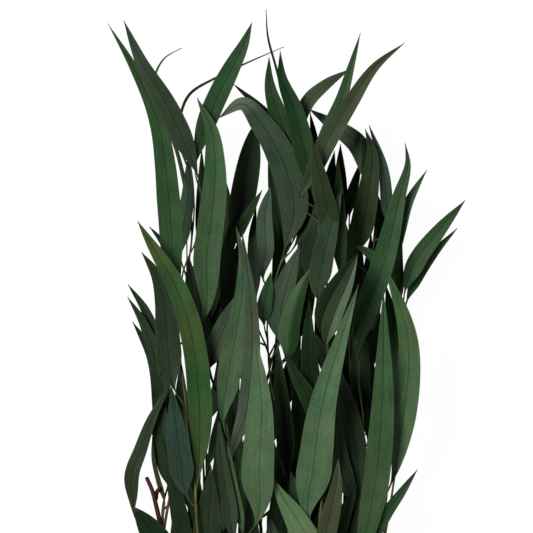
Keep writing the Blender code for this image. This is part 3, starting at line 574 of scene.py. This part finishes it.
BLADE_THICKNESS = 0.45
BLADE_ROW_SPACING = 2.4
BLADE_COLUMNS = 8
BLADE_TIP_WIDTH = 0.35
BLADE_BASE_WIDTH = 1.2
BLADE_FOLD = 0.085
MIDRIB_ROUNDING = 0.12       # half-width of the rounded bottom of the fold, as a share of the half-blade
WAVE_HEIGHTS = (0.01, 0.035) # of the margins, as shares of the blade's width
WAVE_LENGTHS = (26.0, 60.0)
CUP_SHARES = (-0.03, 0.04)   # how far the margins bend up or down, as shares of the width
TWIST_DEGREES = 6.0
HALF_DIFFERENCE = 0.08       # how much wider one half of a blade may be than its even share
TONE_VARIATION = 0.12
FOLDED_TIP = (0.78, 0.84)    # from where to where along the blade the fold of such a tip goes


def linear(hex_colour):
    """An sRGB hex colour as linear red, green and blue."""
    parts = [int(hex_colour[i:i + 2], 16) / 255 for i in (1, 3, 5)]
    return tuple(c / 12.92 if c <= 0.04045 else ((c + 0.055) / 1.055) ** 2.4 for c in parts)


# Each leaf's tone differs as the dye took unevenly; the darkest, "d" and the far tone, also paint the shade
# deep in the pile. A tone a leaf, or one for its left half and one for its right, where a lighter and a darker
# half paint light and shade on the two sides of the fold; and where the tip is folded over, one for the paler
# underside that shows there
TONES = {
    "p": linear("#5f7e55"),
    "q": linear("#54724f"),
    "a": linear("#566a52"),
    "m": linear("#42603c"),
    "y": linear("#39562c"),
    "b": linear("#445746"),
    "c": linear("#3f503b"),
    "g": linear("#345230"),
    "h": linear("#224020"),
    "o": linear("#414b32"),
    "n": linear("#2a3921"),
    "e": linear("#31442f"),
    "z": linear("#2f4438"),
    # partly the leaves' own dark green, partly painted shade for the leaves at the back of the pile
    "d": linear("#1c3018"),
    # near-black: painted shade for the leaves deep in the pile
    FAR_SHADE_TONE: linear("#182a15"),
}


def blade(bm, leaf, spine, stalk, rng):
    """One leaf blade in the bmesh of its shoot: a grid laid along the spine, then given its thickness."""
    length = path_length(spine)
    count = round(length * (1 - stalk) / BLADE_ROW_SPACING)
    shares = np.linspace(stalk, 1.0, count + 1)
    centre = at_rows(spine, shares)
    twist = TWIST_DEGREES * np.sin(np.linspace(0, rng.uniform(2, 5), len(spine)) + rng.uniform(0, 6.3))
    across, out = (unit(at_rows(rows, shares)) for rows in leaf_sides(spine, leaf.roll + twist))
    width = blade_widths(shares, stalk, leaf, BLADE_BASE_WIDTH, BLADE_TIP_WIDTH)
    run = (shares - stalk) * length
    height = rng.uniform(*WAVE_HEIGHTS)
    waves = [np.sin(2 * math.pi * run / rng.uniform(*WAVE_LENGTHS) + rng.uniform(0, 6.3)) for _ in range(2)]
    cup = rng.uniform(*CUP_SHARES)
    fuller = rng.uniform(-HALF_DIFFERENCE, HALF_DIFFERENCE)
    chance = rng.random()
    shade = 1 + rng.uniform(-TONE_VARIATION, TONE_VARIATION)
    place, lay, tone = (bm.verts.layers.float_vector[n] for n in ("place", "lay", "tone"))
    # where a leaf's two halves have different tones, the lighter and the darker half are painted light and
    # shade on the two sides of its fold
    halves, tip_tone = (leaf.tone * 2)[:2], leaf.tone[-1]
    folded = np.interp(shares, FOLDED_TIP, (0.0, 1.0)) if len(leaf.tone) > 2 else 0 * shares
    made = bmesh.ops.create_grid(bm, x_segments=BLADE_COLUMNS, y_segments=count, size=1.0)["verts"]
    for v in made:
        side = v.co.x
        k = round((v.co.y + 1) / 2 * count)
        aside = side * (1 + fuller * np.sign(side)) * width[k] / 2
        fold = BLADE_FOLD * (math.sqrt(side**2 + MIDRIB_ROUNDING**2) - 1)
        margin = side**2 * (cup + height * waves[side > 0][k])
        rise = width[k] * (fold + margin) + BLADE_THICKNESS / 2
        v[place] = (side, k / count, chance)
        v[lay] = (aside, run[k], 1000 * chance)
        v[tone] = shade * Vector(TONES[halves[side > 0]]).lerp(Vector(TONES[tip_tone]), folded[k])
        v.co = Vector(centre[k] + across[k] * aside + out[k] * rise) * METRES
    faces = list({f for v in made for f in v.link_faces})
    under = bmesh.ops.extrude_face_region(bm, geom=faces, use_keep_orig=True)["geom"]
    for part in under:
        if isinstance(part, bmesh.types.BMVert):
            part.co -= Vector(out[round(part[place].y * count)]) * METRES * BLADE_THICKNESS
        elif isinstance(part, bmesh.types.BMFace):
            part.material_index = 1


def add_node(tree, kind, inputs=(), **settings):
    """A node with its settings, whose inputs take plain values or the sockets that feed them."""
    made = tree.nodes.new(kind)
    for name, value in settings.items():
        setattr(made, name, value)
    for name, value in dict(inputs).items():
        if isinstance(value, bpy.types.NodeSocket):
            tree.links.new(value, made.inputs[name])
        else:
            made.inputs[name].default_value = value
    return made


MIDRIB_WIDTH = 0.9           # mm, about half as wide again as it is, so that it shows
VEIN_SPACING = 2.6           # mm, drawn wider apart than the real side veins for the same reason
VEIN_SLANT = 1.25            # side veins leave the midrib at about 40 degrees
DUSTY_GREEN = (*linear("#5f6b58"), 1.0)
DRIED_TIP = (*linear("#665a34"), 1.0)
PALE_MARGIN = (*linear("#74804c"), 1.0)
BROWN_SPECK = (*linear("#3a3520"), 1.0)


def leaf_material(name, fade, midrib_light, roughness):
    """Dyed and glycerined leaf: finely mottled, with a thin midrib and faint side veins, and satin."""
    made = bpy.data.materials.new(name)
    made.use_nodes = True
    tree = made.node_tree
    shader = tree.nodes["Principled BSDF"]
    tone = add_node(tree, "ShaderNodeAttribute", attribute_name="tone").outputs["Vector"]
    lay = add_node(tree, "ShaderNodeAttribute", attribute_name="lay").outputs["Vector"]
    place = add_node(tree, "ShaderNodeAttribute", attribute_name="place").outputs["Vector"]
    lay_parts = add_node(tree, "ShaderNodeSeparateXYZ", {0: lay}).outputs
    place_parts = add_node(tree, "ShaderNodeSeparateXYZ", {0: place}).outputs

    aside = add_node(tree, "ShaderNodeMath", {0: lay_parts["X"]}, operation="ABSOLUTE").outputs[0]
    midrib = add_node(tree, "ShaderNodeMapRange",
                      {0: aside, 1: 0.25 * MIDRIB_WIDTH, 2: 0.6 * MIDRIB_WIDTH, 3: 1.0, 4: 0.0},
                      interpolation_type="SMOOTHSTEP").outputs[0]
    cloud = add_node(tree, "ShaderNodeTexNoise", {"Vector": lay, "Scale": 0.07, "Detail": 4.0}).outputs[0]
    slant = add_node(tree, "ShaderNodeMath", {0: aside, 1: -VEIN_SLANT, 2: lay_parts["Y"]},
                     operation="MULTIPLY_ADD").outputs[0]
    bent = add_node(tree, "ShaderNodeMath", {0: cloud, 1: 6.0, 2: slant}, operation="MULTIPLY_ADD").outputs[0]
    turns = add_node(tree, "ShaderNodeMath", {0: bent, 1: 2 * math.pi / VEIN_SPACING},
                     operation="MULTIPLY").outputs[0]
    swing = add_node(tree, "ShaderNodeMath", {0: turns}, operation="SINE").outputs[0]
    vein = add_node(tree, "ShaderNodeMapRange", {0: swing, 1: 0.35, 2: 1.0, 3: 0.0, 4: 1.0},
                    interpolation_type="SMOOTHSTEP").outputs[0]

    stretched = add_node(tree, "ShaderNodeMapping", {0: lay, "Scale": (0.55, 0.035, 1.0)}).outputs[0]
    streak = add_node(tree, "ShaderNodeTexNoise",
                      {"Vector": stretched, "Scale": 1.0, "Detail": 4.0}).outputs[0]
    grain = add_node(tree, "ShaderNodeTexNoise", {"Vector": lay, "Scale": 0.8, "Detail": 3.0}).outputs[0]
    mottle = add_node(tree, "ShaderNodeMath", {0: cloud, 1: streak}, operation="ADD").outputs[0]
    mottle = add_node(tree, "ShaderNodeMath", {0: grain, 1: 1.2, 2: mottle},
                      operation="MULTIPLY_ADD").outputs[0]
    value = add_node(tree, "ShaderNodeMapRange", {0: mottle, 1: 1.1, 2: 2.1, 3: 0.68, 4: 1.32}).outputs[0]
    rib_value = add_node(tree, "ShaderNodeMapRange", {0: midrib, 3: 1.0, 4: midrib_light}).outputs[0]
    vein_value = add_node(tree, "ShaderNodeMapRange", {0: vein, 3: 1.0, 4: 1.14}).outputs[0]
    value = add_node(tree, "ShaderNodeMath", {0: value, 1: rib_value}, operation="MULTIPLY").outputs[0]
    value = add_node(tree, "ShaderNodeMath", {0: value, 1: vein_value}, operation="MULTIPLY").outputs[0]
    drift = add_node(tree, "ShaderNodeTexNoise", {"Vector": lay, "Scale": 0.025, "Detail": 2.0}).outputs[0]
    hue = add_node(tree, "ShaderNodeMapRange", {0: drift, 1: 0.32, 2: 0.68, 3: 0.468, 4: 0.53}).outputs[0]
    colour = add_node(tree, "ShaderNodeHueSaturation", {"Hue": hue, "Value": value, "Color": tone}).outputs[0]
    colour = add_node(tree, "ShaderNodeMix", {0: fade, 6: colour, 7: DUSTY_GREEN}, data_type="RGBA").outputs[2]

    dry = add_node(tree, "ShaderNodeMapRange", {0: place_parts["Y"], 1: 0.92, 2: 1.0, 3: 0.0, 4: 1.0},
                   interpolation_type="SMOOTHSTEP").outputs[0]
    often = add_node(tree, "ShaderNodeMapRange",
                     {0: place_parts["Z"], 1: 0.45, 2: 0.85, 3: 0.1, 4: 0.9}).outputs[0]
    dry = add_node(tree, "ShaderNodeMath", {0: dry, 1: often}, operation="MULTIPLY").outputs[0]
    colour = add_node(tree, "ShaderNodeMix", {0: dry, 6: colour, 7: DRIED_TIP}, data_type="RGBA").outputs[2]
    edge = add_node(tree, "ShaderNodeMath", {0: place_parts["X"]}, operation="ABSOLUTE").outputs[0]
    edge = add_node(tree, "ShaderNodeMapRange", {0: edge, 1: 0.88, 2: 1.0, 3: 0.0, 4: 0.14}).outputs[0]
    colour = add_node(tree, "ShaderNodeMix", {0: edge, 6: colour, 7: PALE_MARGIN}, data_type="RGBA").outputs[2]
    specks = add_node(tree, "ShaderNodeTexVoronoi", {"Vector": lay, "Scale": 0.055}).outputs["Distance"]
    speck = add_node(tree, "ShaderNodeMapRange", {0: specks, 1: 0.02, 2: 0.05, 3: 0.6, 4: 0.0}).outputs[0]
    colour = add_node(tree, "ShaderNodeMix", {0: speck, 6: colour, 7: BROWN_SPECK}, data_type="RGBA").outputs[2]

    ridges = add_node(tree, "ShaderNodeMath", {0: vein, 1: 0.35, 2: streak},
                      operation="MULTIPLY_ADD").outputs[0]
    ridges = add_node(tree, "ShaderNodeMath", {0: midrib, 1: -1.5, 2: ridges},
                      operation="MULTIPLY_ADD").outputs[0]
    bump = add_node(tree, "ShaderNodeBump",
                    {"Height": ridges, "Strength": 0.4, "Distance": 0.0002}).outputs[0]
    tree.links.new(colour, shader.inputs["Base Color"])
    tree.links.new(bump, shader.inputs["Normal"])
    shader.inputs["Roughness"].default_value = roughness
    shader.inputs["Specular IOR Level"].default_value = 0.12
    return made


leaf_face = leaf_material("preserved_leaf_face", 0.0, 0.55, 0.5)
leaf_back = leaf_material("preserved_leaf_back", 0.4, 1.2, 0.65)


# Twigs and leaf stalks.
# The twigs are thin and tough, green-brown and a little swollen where a leaf stalk leaves. The stalks
# run on under the blades as raised midribs.

TWIG_STATIONS = (0.0, 0.2, 0.5, 1.0)
TWIG_RADII = (1.9, 1.05, 0.75, 0.45)
TWIG_ROWS = 110
NODE_SWELLING = 0.3
NODE_REACH = 3.0             # mm along the twig
STALK_RADII = (0.7, 0.5)
STALK_POINTS = 6
RIB_POINTS = 18
RIB_BENEATH = 0.2            # mm, how far the raised midrib hangs below the bottom of the fold
RIB_SHARE = 0.6              # how far along the blade its midrib is raised beneath
RIB_END_RADIUS = 0.2
BARE_RADII = (1.8, 1.4)
BARE_RISE = 5.0
BARE_POINTS = 24
THIN_STEMS = {"shoot_left_outer": (((163, 533), (167, 510), (170, 495), (173, 480)),)}
THIN_RADII = (1.1, 0.8)
TWIG_TONES = (linear("#6e6030"), linear("#4a562c"))
STALK_TONE = linear("#464d2a")
RED_BROWN = linear("#502a19")
ORANGE_BROWN = linear("#694722")


def add_rod(bm, path, radii, tones, resolution=2):
    """Joins a rod to the twigs' bmesh, its tone changing from its start to its end."""
    single = rod(path, radii, resolution)
    piece = bpy.data.meshes.new("rod")
    single.to_mesh(piece)
    single.free()
    first = len(bm.verts)
    bm.from_mesh(piece)
    bm.verts.ensure_lookup_table()
    tone = bm.verts.layers.float_vector["tone"]
    start, end = (Vector(tones[k]) for k in (0, -1))
    foot, head = Vector(path[0] * METRES), Vector(path[-1] * METRES)
    for v in bm.verts[first:]:
        share = min(1.0, (v.co - foot).length / (head - foot).length)
        v[tone] = start.lerp(end, share)
    bpy.data.meshes.remove(piece)


def bark_material(name, streaks, relief, roughness):
    """Thin bark with fine lengthwise streaks and wrinkles, matt, in the tone of its mesh."""
    made = bpy.data.materials.new(name)
    made.use_nodes = True
    tree = made.node_tree
    shader = tree.nodes["Principled BSDF"]
    spot = add_node(tree, "ShaderNodeTexCoord").outputs["Object"]
    tone = add_node(tree, "ShaderNodeAttribute", attribute_name="tone").outputs["Vector"]
    stretched = add_node(tree, "ShaderNodeMapping", {0: spot, "Scale": (1.0, 0.12, 1.0)}).outputs[0]
    streak = add_node(tree, "ShaderNodeTexNoise",
                      {"Vector": stretched, "Scale": streaks, "Detail": 5.0}).outputs[0]
    patch = add_node(tree, "ShaderNodeTexNoise", {"Vector": spot, "Scale": 90.0, "Detail": 2.0}).outputs[0]
    value = add_node(tree, "ShaderNodeMath", {0: streak, 1: patch}, operation="ADD").outputs[0]
    value = add_node(tree, "ShaderNodeMapRange", {0: value, 1: 0.7, 2: 1.3, 3: 0.55, 4: 1.4}).outputs[0]
    colour = add_node(tree, "ShaderNodeHueSaturation", {"Value": value, "Color": tone}).outputs[0]
    bump = add_node(tree, "ShaderNodeBump",
                    {"Height": streak, "Strength": 0.6, "Distance": relief}).outputs[0]
    tree.links.new(colour, shader.inputs["Base Color"])
    tree.links.new(bump, shader.inputs["Normal"])
    shader.inputs["Roughness"].default_value = roughness
    shader.inputs["Specular IOR Level"].default_value = 0.3
    return made


twig_bark = bark_material("twig_bark", 900.0, 0.0003, 0.6)


def finish_piece(bm, name, materials, sharp_angle):
    """Makes a piece of a bmesh, smooth apart from edges that turn by more than the angle."""
    bmesh.ops.recalc_face_normals(bm, faces=bm.faces[:])
    for face in bm.faces:
        face.smooth = True
    for edge in bm.edges:
        if len(edge.link_faces) == 2 and edge.calc_face_angle() > sharp_angle:
            edge.smooth = False
    mesh = bpy.data.meshes.new(name)
    bm.to_mesh(mesh)
    bm.free()
    for material in materials:
        mesh.materials.append(material)
    piece = bpy.data.objects.new(name, mesh)
    bpy.context.scene.collection.objects.link(piece)
    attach(piece, "root")
    return piece


RIM_ANGLE = 0.9              # radians, so that the blades' thin rims stay crisp
solver_rng = random.Random(7)
form_rng = random.Random(19)
far_rng = random.Random(23)
pile = Pile()
twigs = {}
for shoot in SHOOTS:
    twig, laid = lay_shoot(shoot, pile, solver_rng)
    twigs[shoot.name] = twig
    leaves_bm = bmesh.new()
    twig_bm = bmesh.new()
    for layer in ("place", "lay", "tone"):
        leaves_bm.verts.layers.float_vector.new(layer)
    twig_bm.verts.layers.float_vector.new("tone")

    rows = np.linspace(0.0, 1.0, TWIG_ROWS)
    radii = np.interp(rows, TWIG_STATIONS, TWIG_RADII)
    twig_fine = at_shares(twig, rows)
    for leaf, spine, stalk in laid:
        blade(leaves_bm, leaf, spine, stalk, far_rng if leaf.tone == FAR_SHADE_TONE else form_rng)
        away = np.linalg.norm(twig_fine - spine[0], axis=1)
        radii *= 1 + NODE_SWELLING * np.exp(-(away / NODE_REACH) ** 2)
        reach = stalk + RIB_SHARE * (1 - stalk)
        shares = np.concatenate([np.linspace(0, stalk, STALK_POINTS),
                                 np.linspace(stalk, reach, RIB_POINTS)[1:]])
        path = at_rows(spine, shares)
        width = blade_widths(shares, stalk, leaf, BLADE_BASE_WIDTH, BLADE_TIP_WIDTH)
        path[:, 2] -= np.where(shares > stalk, BLADE_FOLD * width + RIB_BENEATH, 0.0)
        thick = np.interp(shares, (0, stalk, reach), (*STALK_RADII, RIB_END_RADIUS))
        add_rod(twig_bm, path, thick, (STALK_TONE, TONES[leaf.tone[0]]), 1)
    add_rod(twig_bm, twig_fine, radii, TWIG_TONES)
    thin = THIN_STEMS.get(shoot.name, ())
    for pixels in (*shoot.bare, *thin):
        flat = smooth_path(to_row(pixels), BARE_POINTS)
        foot = twig[np.argmin(np.linalg.norm(twig[:, :2] - flat[0], axis=1)), 2]
        path = np.column_stack([flat, foot + np.linspace(0.0, BARE_RISE, len(flat))])
        radii, tones = (THIN_RADII, (ORANGE_BROWN,)) if pixels in thin else (BARE_RADII, (RED_BROWN,))
        add_rod(twig_bm, path, np.linspace(*radii, len(flat)), tones)

    leaves = finish_piece(leaves_bm, shoot.name + "_leaves", (leaf_face, leaf_back), RIM_ANGLE)
    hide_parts(shoot.name)
    stems = finish_piece(twig_bm, shoot.name + "_twig", (twig_bark,), RIM_ANGLE)
    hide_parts(shoot.name)


# Woody stem.
# The brown main wood, whose three limbs carry an arm for each shoot. It grew as one piece, so its rods
# are fused and smoothed at their forks. It was cut square, and lies on a flattened spot under that end.

STEM_LINE = ((0, -18, 4.3), (0, 20, 4.3), (-1, 46, 7), (0, 68, 12))
LIMB_LINES = {
    "left": ((0, 48, 7.5), (-6, 78, 15), (-14, 114, 25)),
    "right": ((0, 54, 8.5), (8, 84, 16), (17, 120, 26)),
    "middle": ((0, 60, 10), (1, 90, 20), (2, 126, 32)),
}
STEM_RADII = (5.0, 4.2)
LIMB_RADII = (3.5, 2.9)
ARM_RADII = (2.8, 2.3)
ARM_SPACING = 0.14           # how far apart arms leave a limb, as a share of its length
ARM_FORK = 0.04
ARM_LEAVING = 14.0
ARM_ENDING = 24.0
ARM_OVERLAP = 1.5            # how far an arm runs on over the start of its twig
WOOD_UNEVENNESS = 0.05
SCARS = 26
SCAR_RADII = (0.9, 1.5)
SCAR_DEPTH = 0.8             # how far out of the wood's middle a scar sits, as a share of its radius
FUSE_SIZE = 0.95             # mm, the size of the faces of the fused wood
FLAT_SPOT = 0.3              # mm, below which the wood is pressed flat on the surface
CUT_Y = -17.0
CUT_CENTRE = (0.0, 0.0, 4.3)
PITH_RADII = (0.0006, 0.001) # metres, where the pith begins to pale and where it ends
RING_WIDTH = 0.0011          # metres, wider than the real rings, so that they show


def wood_rod(bm, path, radii, rng):
    """Joins an uneven rod to the wood's bmesh, and gives its points and radii back for its scars."""
    fine = smooth_path(path, 4 * len(path) + 12)
    thick = np.linspace(*radii, len(fine))
    thick[1:-1] *= 1 + np.array([rng.uniform(-WOOD_UNEVENNESS, WOOD_UNEVENNESS) for _ in fine[1:-1]])
    single = rod(fine, thick, 4)
    piece = bpy.data.meshes.new("rod")
    single.to_mesh(piece)
    single.free()
    bm.from_mesh(piece)
    bpy.data.meshes.remove(piece)
    return fine, thick


def fused_wood(rng):
    """All the wood's rods, with the scars of leaves that it has lost, as one smooth skin."""
    bm = bmesh.new()
    lines = [wood_rod(bm, STEM_LINE, STEM_RADII, rng)]
    for limb, line in LIMB_LINES.items():
        path = smooth_path(line, 5)
        lines.append(wood_rod(bm, path, LIMB_RADII, rng))
        carried = [shoot.name for shoot in SHOOTS if shoot.limb == limb]
        for k, name in enumerate(carried):
            share = 1.0 - ARM_SPACING * (len(carried) - 1 - k)
            fork, ahead = at_shares(path, (share - ARM_FORK, share))
            start, next_on = twigs[name][:2]
            onward = unit(next_on - start)
            leaving = fork + ARM_LEAVING * unit(ahead - fork)
            end = start + ARM_OVERLAP * onward
            lines.append(wood_rod(bm, [fork, leaving, start - ARM_ENDING * onward, end], ARM_RADII, rng))
    for _ in range(SCARS):
        fine, thick = rng.choice(lines)
        k = rng.randrange(3, len(fine) - 3)
        turn = rng.uniform(0, 2 * math.pi)
        side = Vector((math.cos(turn), 0.0, math.sin(turn)))
        size = rng.uniform(*SCAR_RADII) * METRES
        scar = bmesh.ops.create_uvsphere(bm, u_segments=12, v_segments=8, radius=size)
        spot = Vector(fine[k]) + side * thick[k] * SCAR_DEPTH
        bmesh.ops.translate(bm, verts=scar["verts"], vec=spot * METRES)
    rough = bpy.data.meshes.new("wood_rods")
    bm.to_mesh(rough)
    bm.free()
    holder = bpy.data.objects.new("wood_rods", rough)
    bpy.context.scene.collection.objects.link(holder)
    fuse = holder.modifiers.new("fuse", "REMESH")
    fuse.mode = "VOXEL"
    fuse.voxel_size = FUSE_SIZE * METRES
    even = holder.modifiers.new("even", "SMOOTH")
    even.iterations = 5
    graph = bpy.context.evaluated_depsgraph_get()
    fused = bpy.data.meshes.new_from_object(holder.evaluated_get(graph))
    bpy.data.objects.remove(holder)
    return fused


def cut_wood_material():
    """The sawn end: pale wood with a dark pith and faint rings."""
    made = bpy.data.materials.new("cut_wood")
    made.use_nodes = True
    tree = made.node_tree
    shader = tree.nodes["Principled BSDF"]
    spot = add_node(tree, "ShaderNodeTexCoord").outputs["Object"]
    flat = add_node(tree, "ShaderNodeVectorMath",
                    {0: spot, 1: tuple(-c * METRES for c in CUT_CENTRE)}).outputs[0]
    flat = add_node(tree, "ShaderNodeVectorMath", {0: flat, 1: (1.0, 0.0, 1.0)},
                    operation="MULTIPLY").outputs[0]
    away = add_node(tree, "ShaderNodeVectorMath", {0: flat}, operation="LENGTH").outputs["Value"]
    pith = add_node(tree, "ShaderNodeMapRange", {0: away, 1: PITH_RADII[0], 2: PITH_RADII[1], 3: 1.0, 4: 0.0}).outputs[0]
    rings = add_node(tree, "ShaderNodeMath", {0: away, 1: 2 * math.pi / RING_WIDTH},
                     operation="MULTIPLY").outputs[0]
    rings = add_node(tree, "ShaderNodeMath", {0: rings}, operation="SINE").outputs[0]
    value = add_node(tree, "ShaderNodeMapRange", {0: rings, 1: -1.0, 2: 1.0, 3: 0.85, 4: 1.05}).outputs[0]
    wood = add_node(tree, "ShaderNodeHueSaturation",
                    {"Value": value, "Color": (*linear("#a98658"), 1.0)}).outputs[0]
    colour = add_node(tree, "ShaderNodeMix", {0: pith, 6: wood, 7: (*linear("#4a3018"), 1.0)},
                      data_type="RGBA").outputs[2]
    tree.links.new(colour, shader.inputs["Base Color"])
    shader.inputs["Roughness"].default_value = 0.8
    return made


wood_bm = bmesh.new()
wood_bm.verts.layers.float_vector.new("tone")
wood_bm.from_mesh(fused_wood(form_rng))
wood_tone = wood_bm.verts.layers.float_vector["tone"]
for v in wood_bm.verts:
    v[wood_tone] = RED_BROWN
    if v.co.z < FLAT_SPOT * METRES:
        v.co.z = 0.0
wood_bm.normal_update()
for face in wood_bm.faces:
    if face.normal.y < -0.7 and face.calc_center_median().y < CUT_Y * METRES:
        face.material_index = 1
branch_bark = bark_material("branch_bark", 500.0, 0.0006, 0.75)
stem = finish_piece(wood_bm, "woody_stem_bark", (branch_bark, cut_wood_material()), RIM_ANGLE)
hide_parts("woody_stem")


# Floor, light and camera.
# A plain white floor, a large soft light from the upper left and a weak one from the right. The camera
# looks straight down from far away.

floor_bm = bmesh.new()
bmesh.ops.create_grid(floor_bm, x_segments=1, y_segments=1, size=8.0)
floor_mesh = bpy.data.meshes.new("floor")
floor_bm.to_mesh(floor_mesh)
floor_bm.free()
floor = bpy.data.objects.new("floor", floor_mesh)
bpy.context.scene.collection.objects.link(floor)
white = bpy.data.materials.new("white_floor")
white.use_nodes = True
tree = white.node_tree
paper = tree.nodes["Principled BSDF"]
paper.inputs["Base Color"].default_value = (0.10, 0.10, 0.10, 1.0)
paper.inputs["Roughness"].default_value = 0.9
paper.inputs["Specular IOR Level"].default_value = 0.0
glow = add_node(tree, "ShaderNodeEmission", {"Color": (0.96, 0.96, 0.96, 1.0), "Strength": 1.0}).outputs[0]
both = add_node(tree, "ShaderNodeAddShader", {0: paper.outputs[0], 1: glow}).outputs[0]
path_node = add_node(tree, "ShaderNodeLightPath").outputs["Is Camera Ray"]
shown = add_node(tree, "ShaderNodeMixShader", {0: path_node, 1: paper.outputs[0], 2: both}).outputs[0]
tree.links.new(shown, tree.nodes["Material Output"].inputs["Surface"])
floor_mesh.materials.append(white)

world = bpy.data.worlds.new("studio")
world.use_nodes = True
world.node_tree.nodes["Background"].inputs["Color"].default_value = (1.0, 1.0, 1.0, 1.0)
world.node_tree.nodes["Background"].inputs["Strength"].default_value = 0.06
bpy.context.scene.world = world


MIDDLE = Vector((-0.013, 0.4665, 0.045))


def softbox(name, place, size, watts):
    """A square area light that faces the branch."""
    light = bpy.data.lights.new(name, "AREA")
    light.shape = "SQUARE"
    light.size = size
    light.energy = watts
    lamp = bpy.data.objects.new(name, light)
    lamp.location = place
    lamp.rotation_euler = (MIDDLE - Vector(place)).to_track_quat("-Z", "Y").to_euler()
    bpy.context.scene.collection.objects.link(lamp)


softbox("key", (-1.3, 1.1, 2.3), 1.1, 58.0)
softbox("fill", (1.4, -0.2, 1.8), 1.2, 6.0)

CAMERA_HEIGHT = 5.0
FRAME_WIDTH = 0.3731
camera_data = bpy.data.cameras.new("camera")
camera_data.lens = camera_data.sensor_width * CAMERA_HEIGHT / FRAME_WIDTH
camera_data.clip_end = 50.0
camera = bpy.data.objects.new("camera", camera_data)
camera.location = MIDDLE + Vector((0.0, 0.0, CAMERA_HEIGHT))
bpy.context.scene.collection.objects.link(camera)
bpy.context.scene.camera = camera
bpy.context.scene.view_settings.view_transform = "Standard"
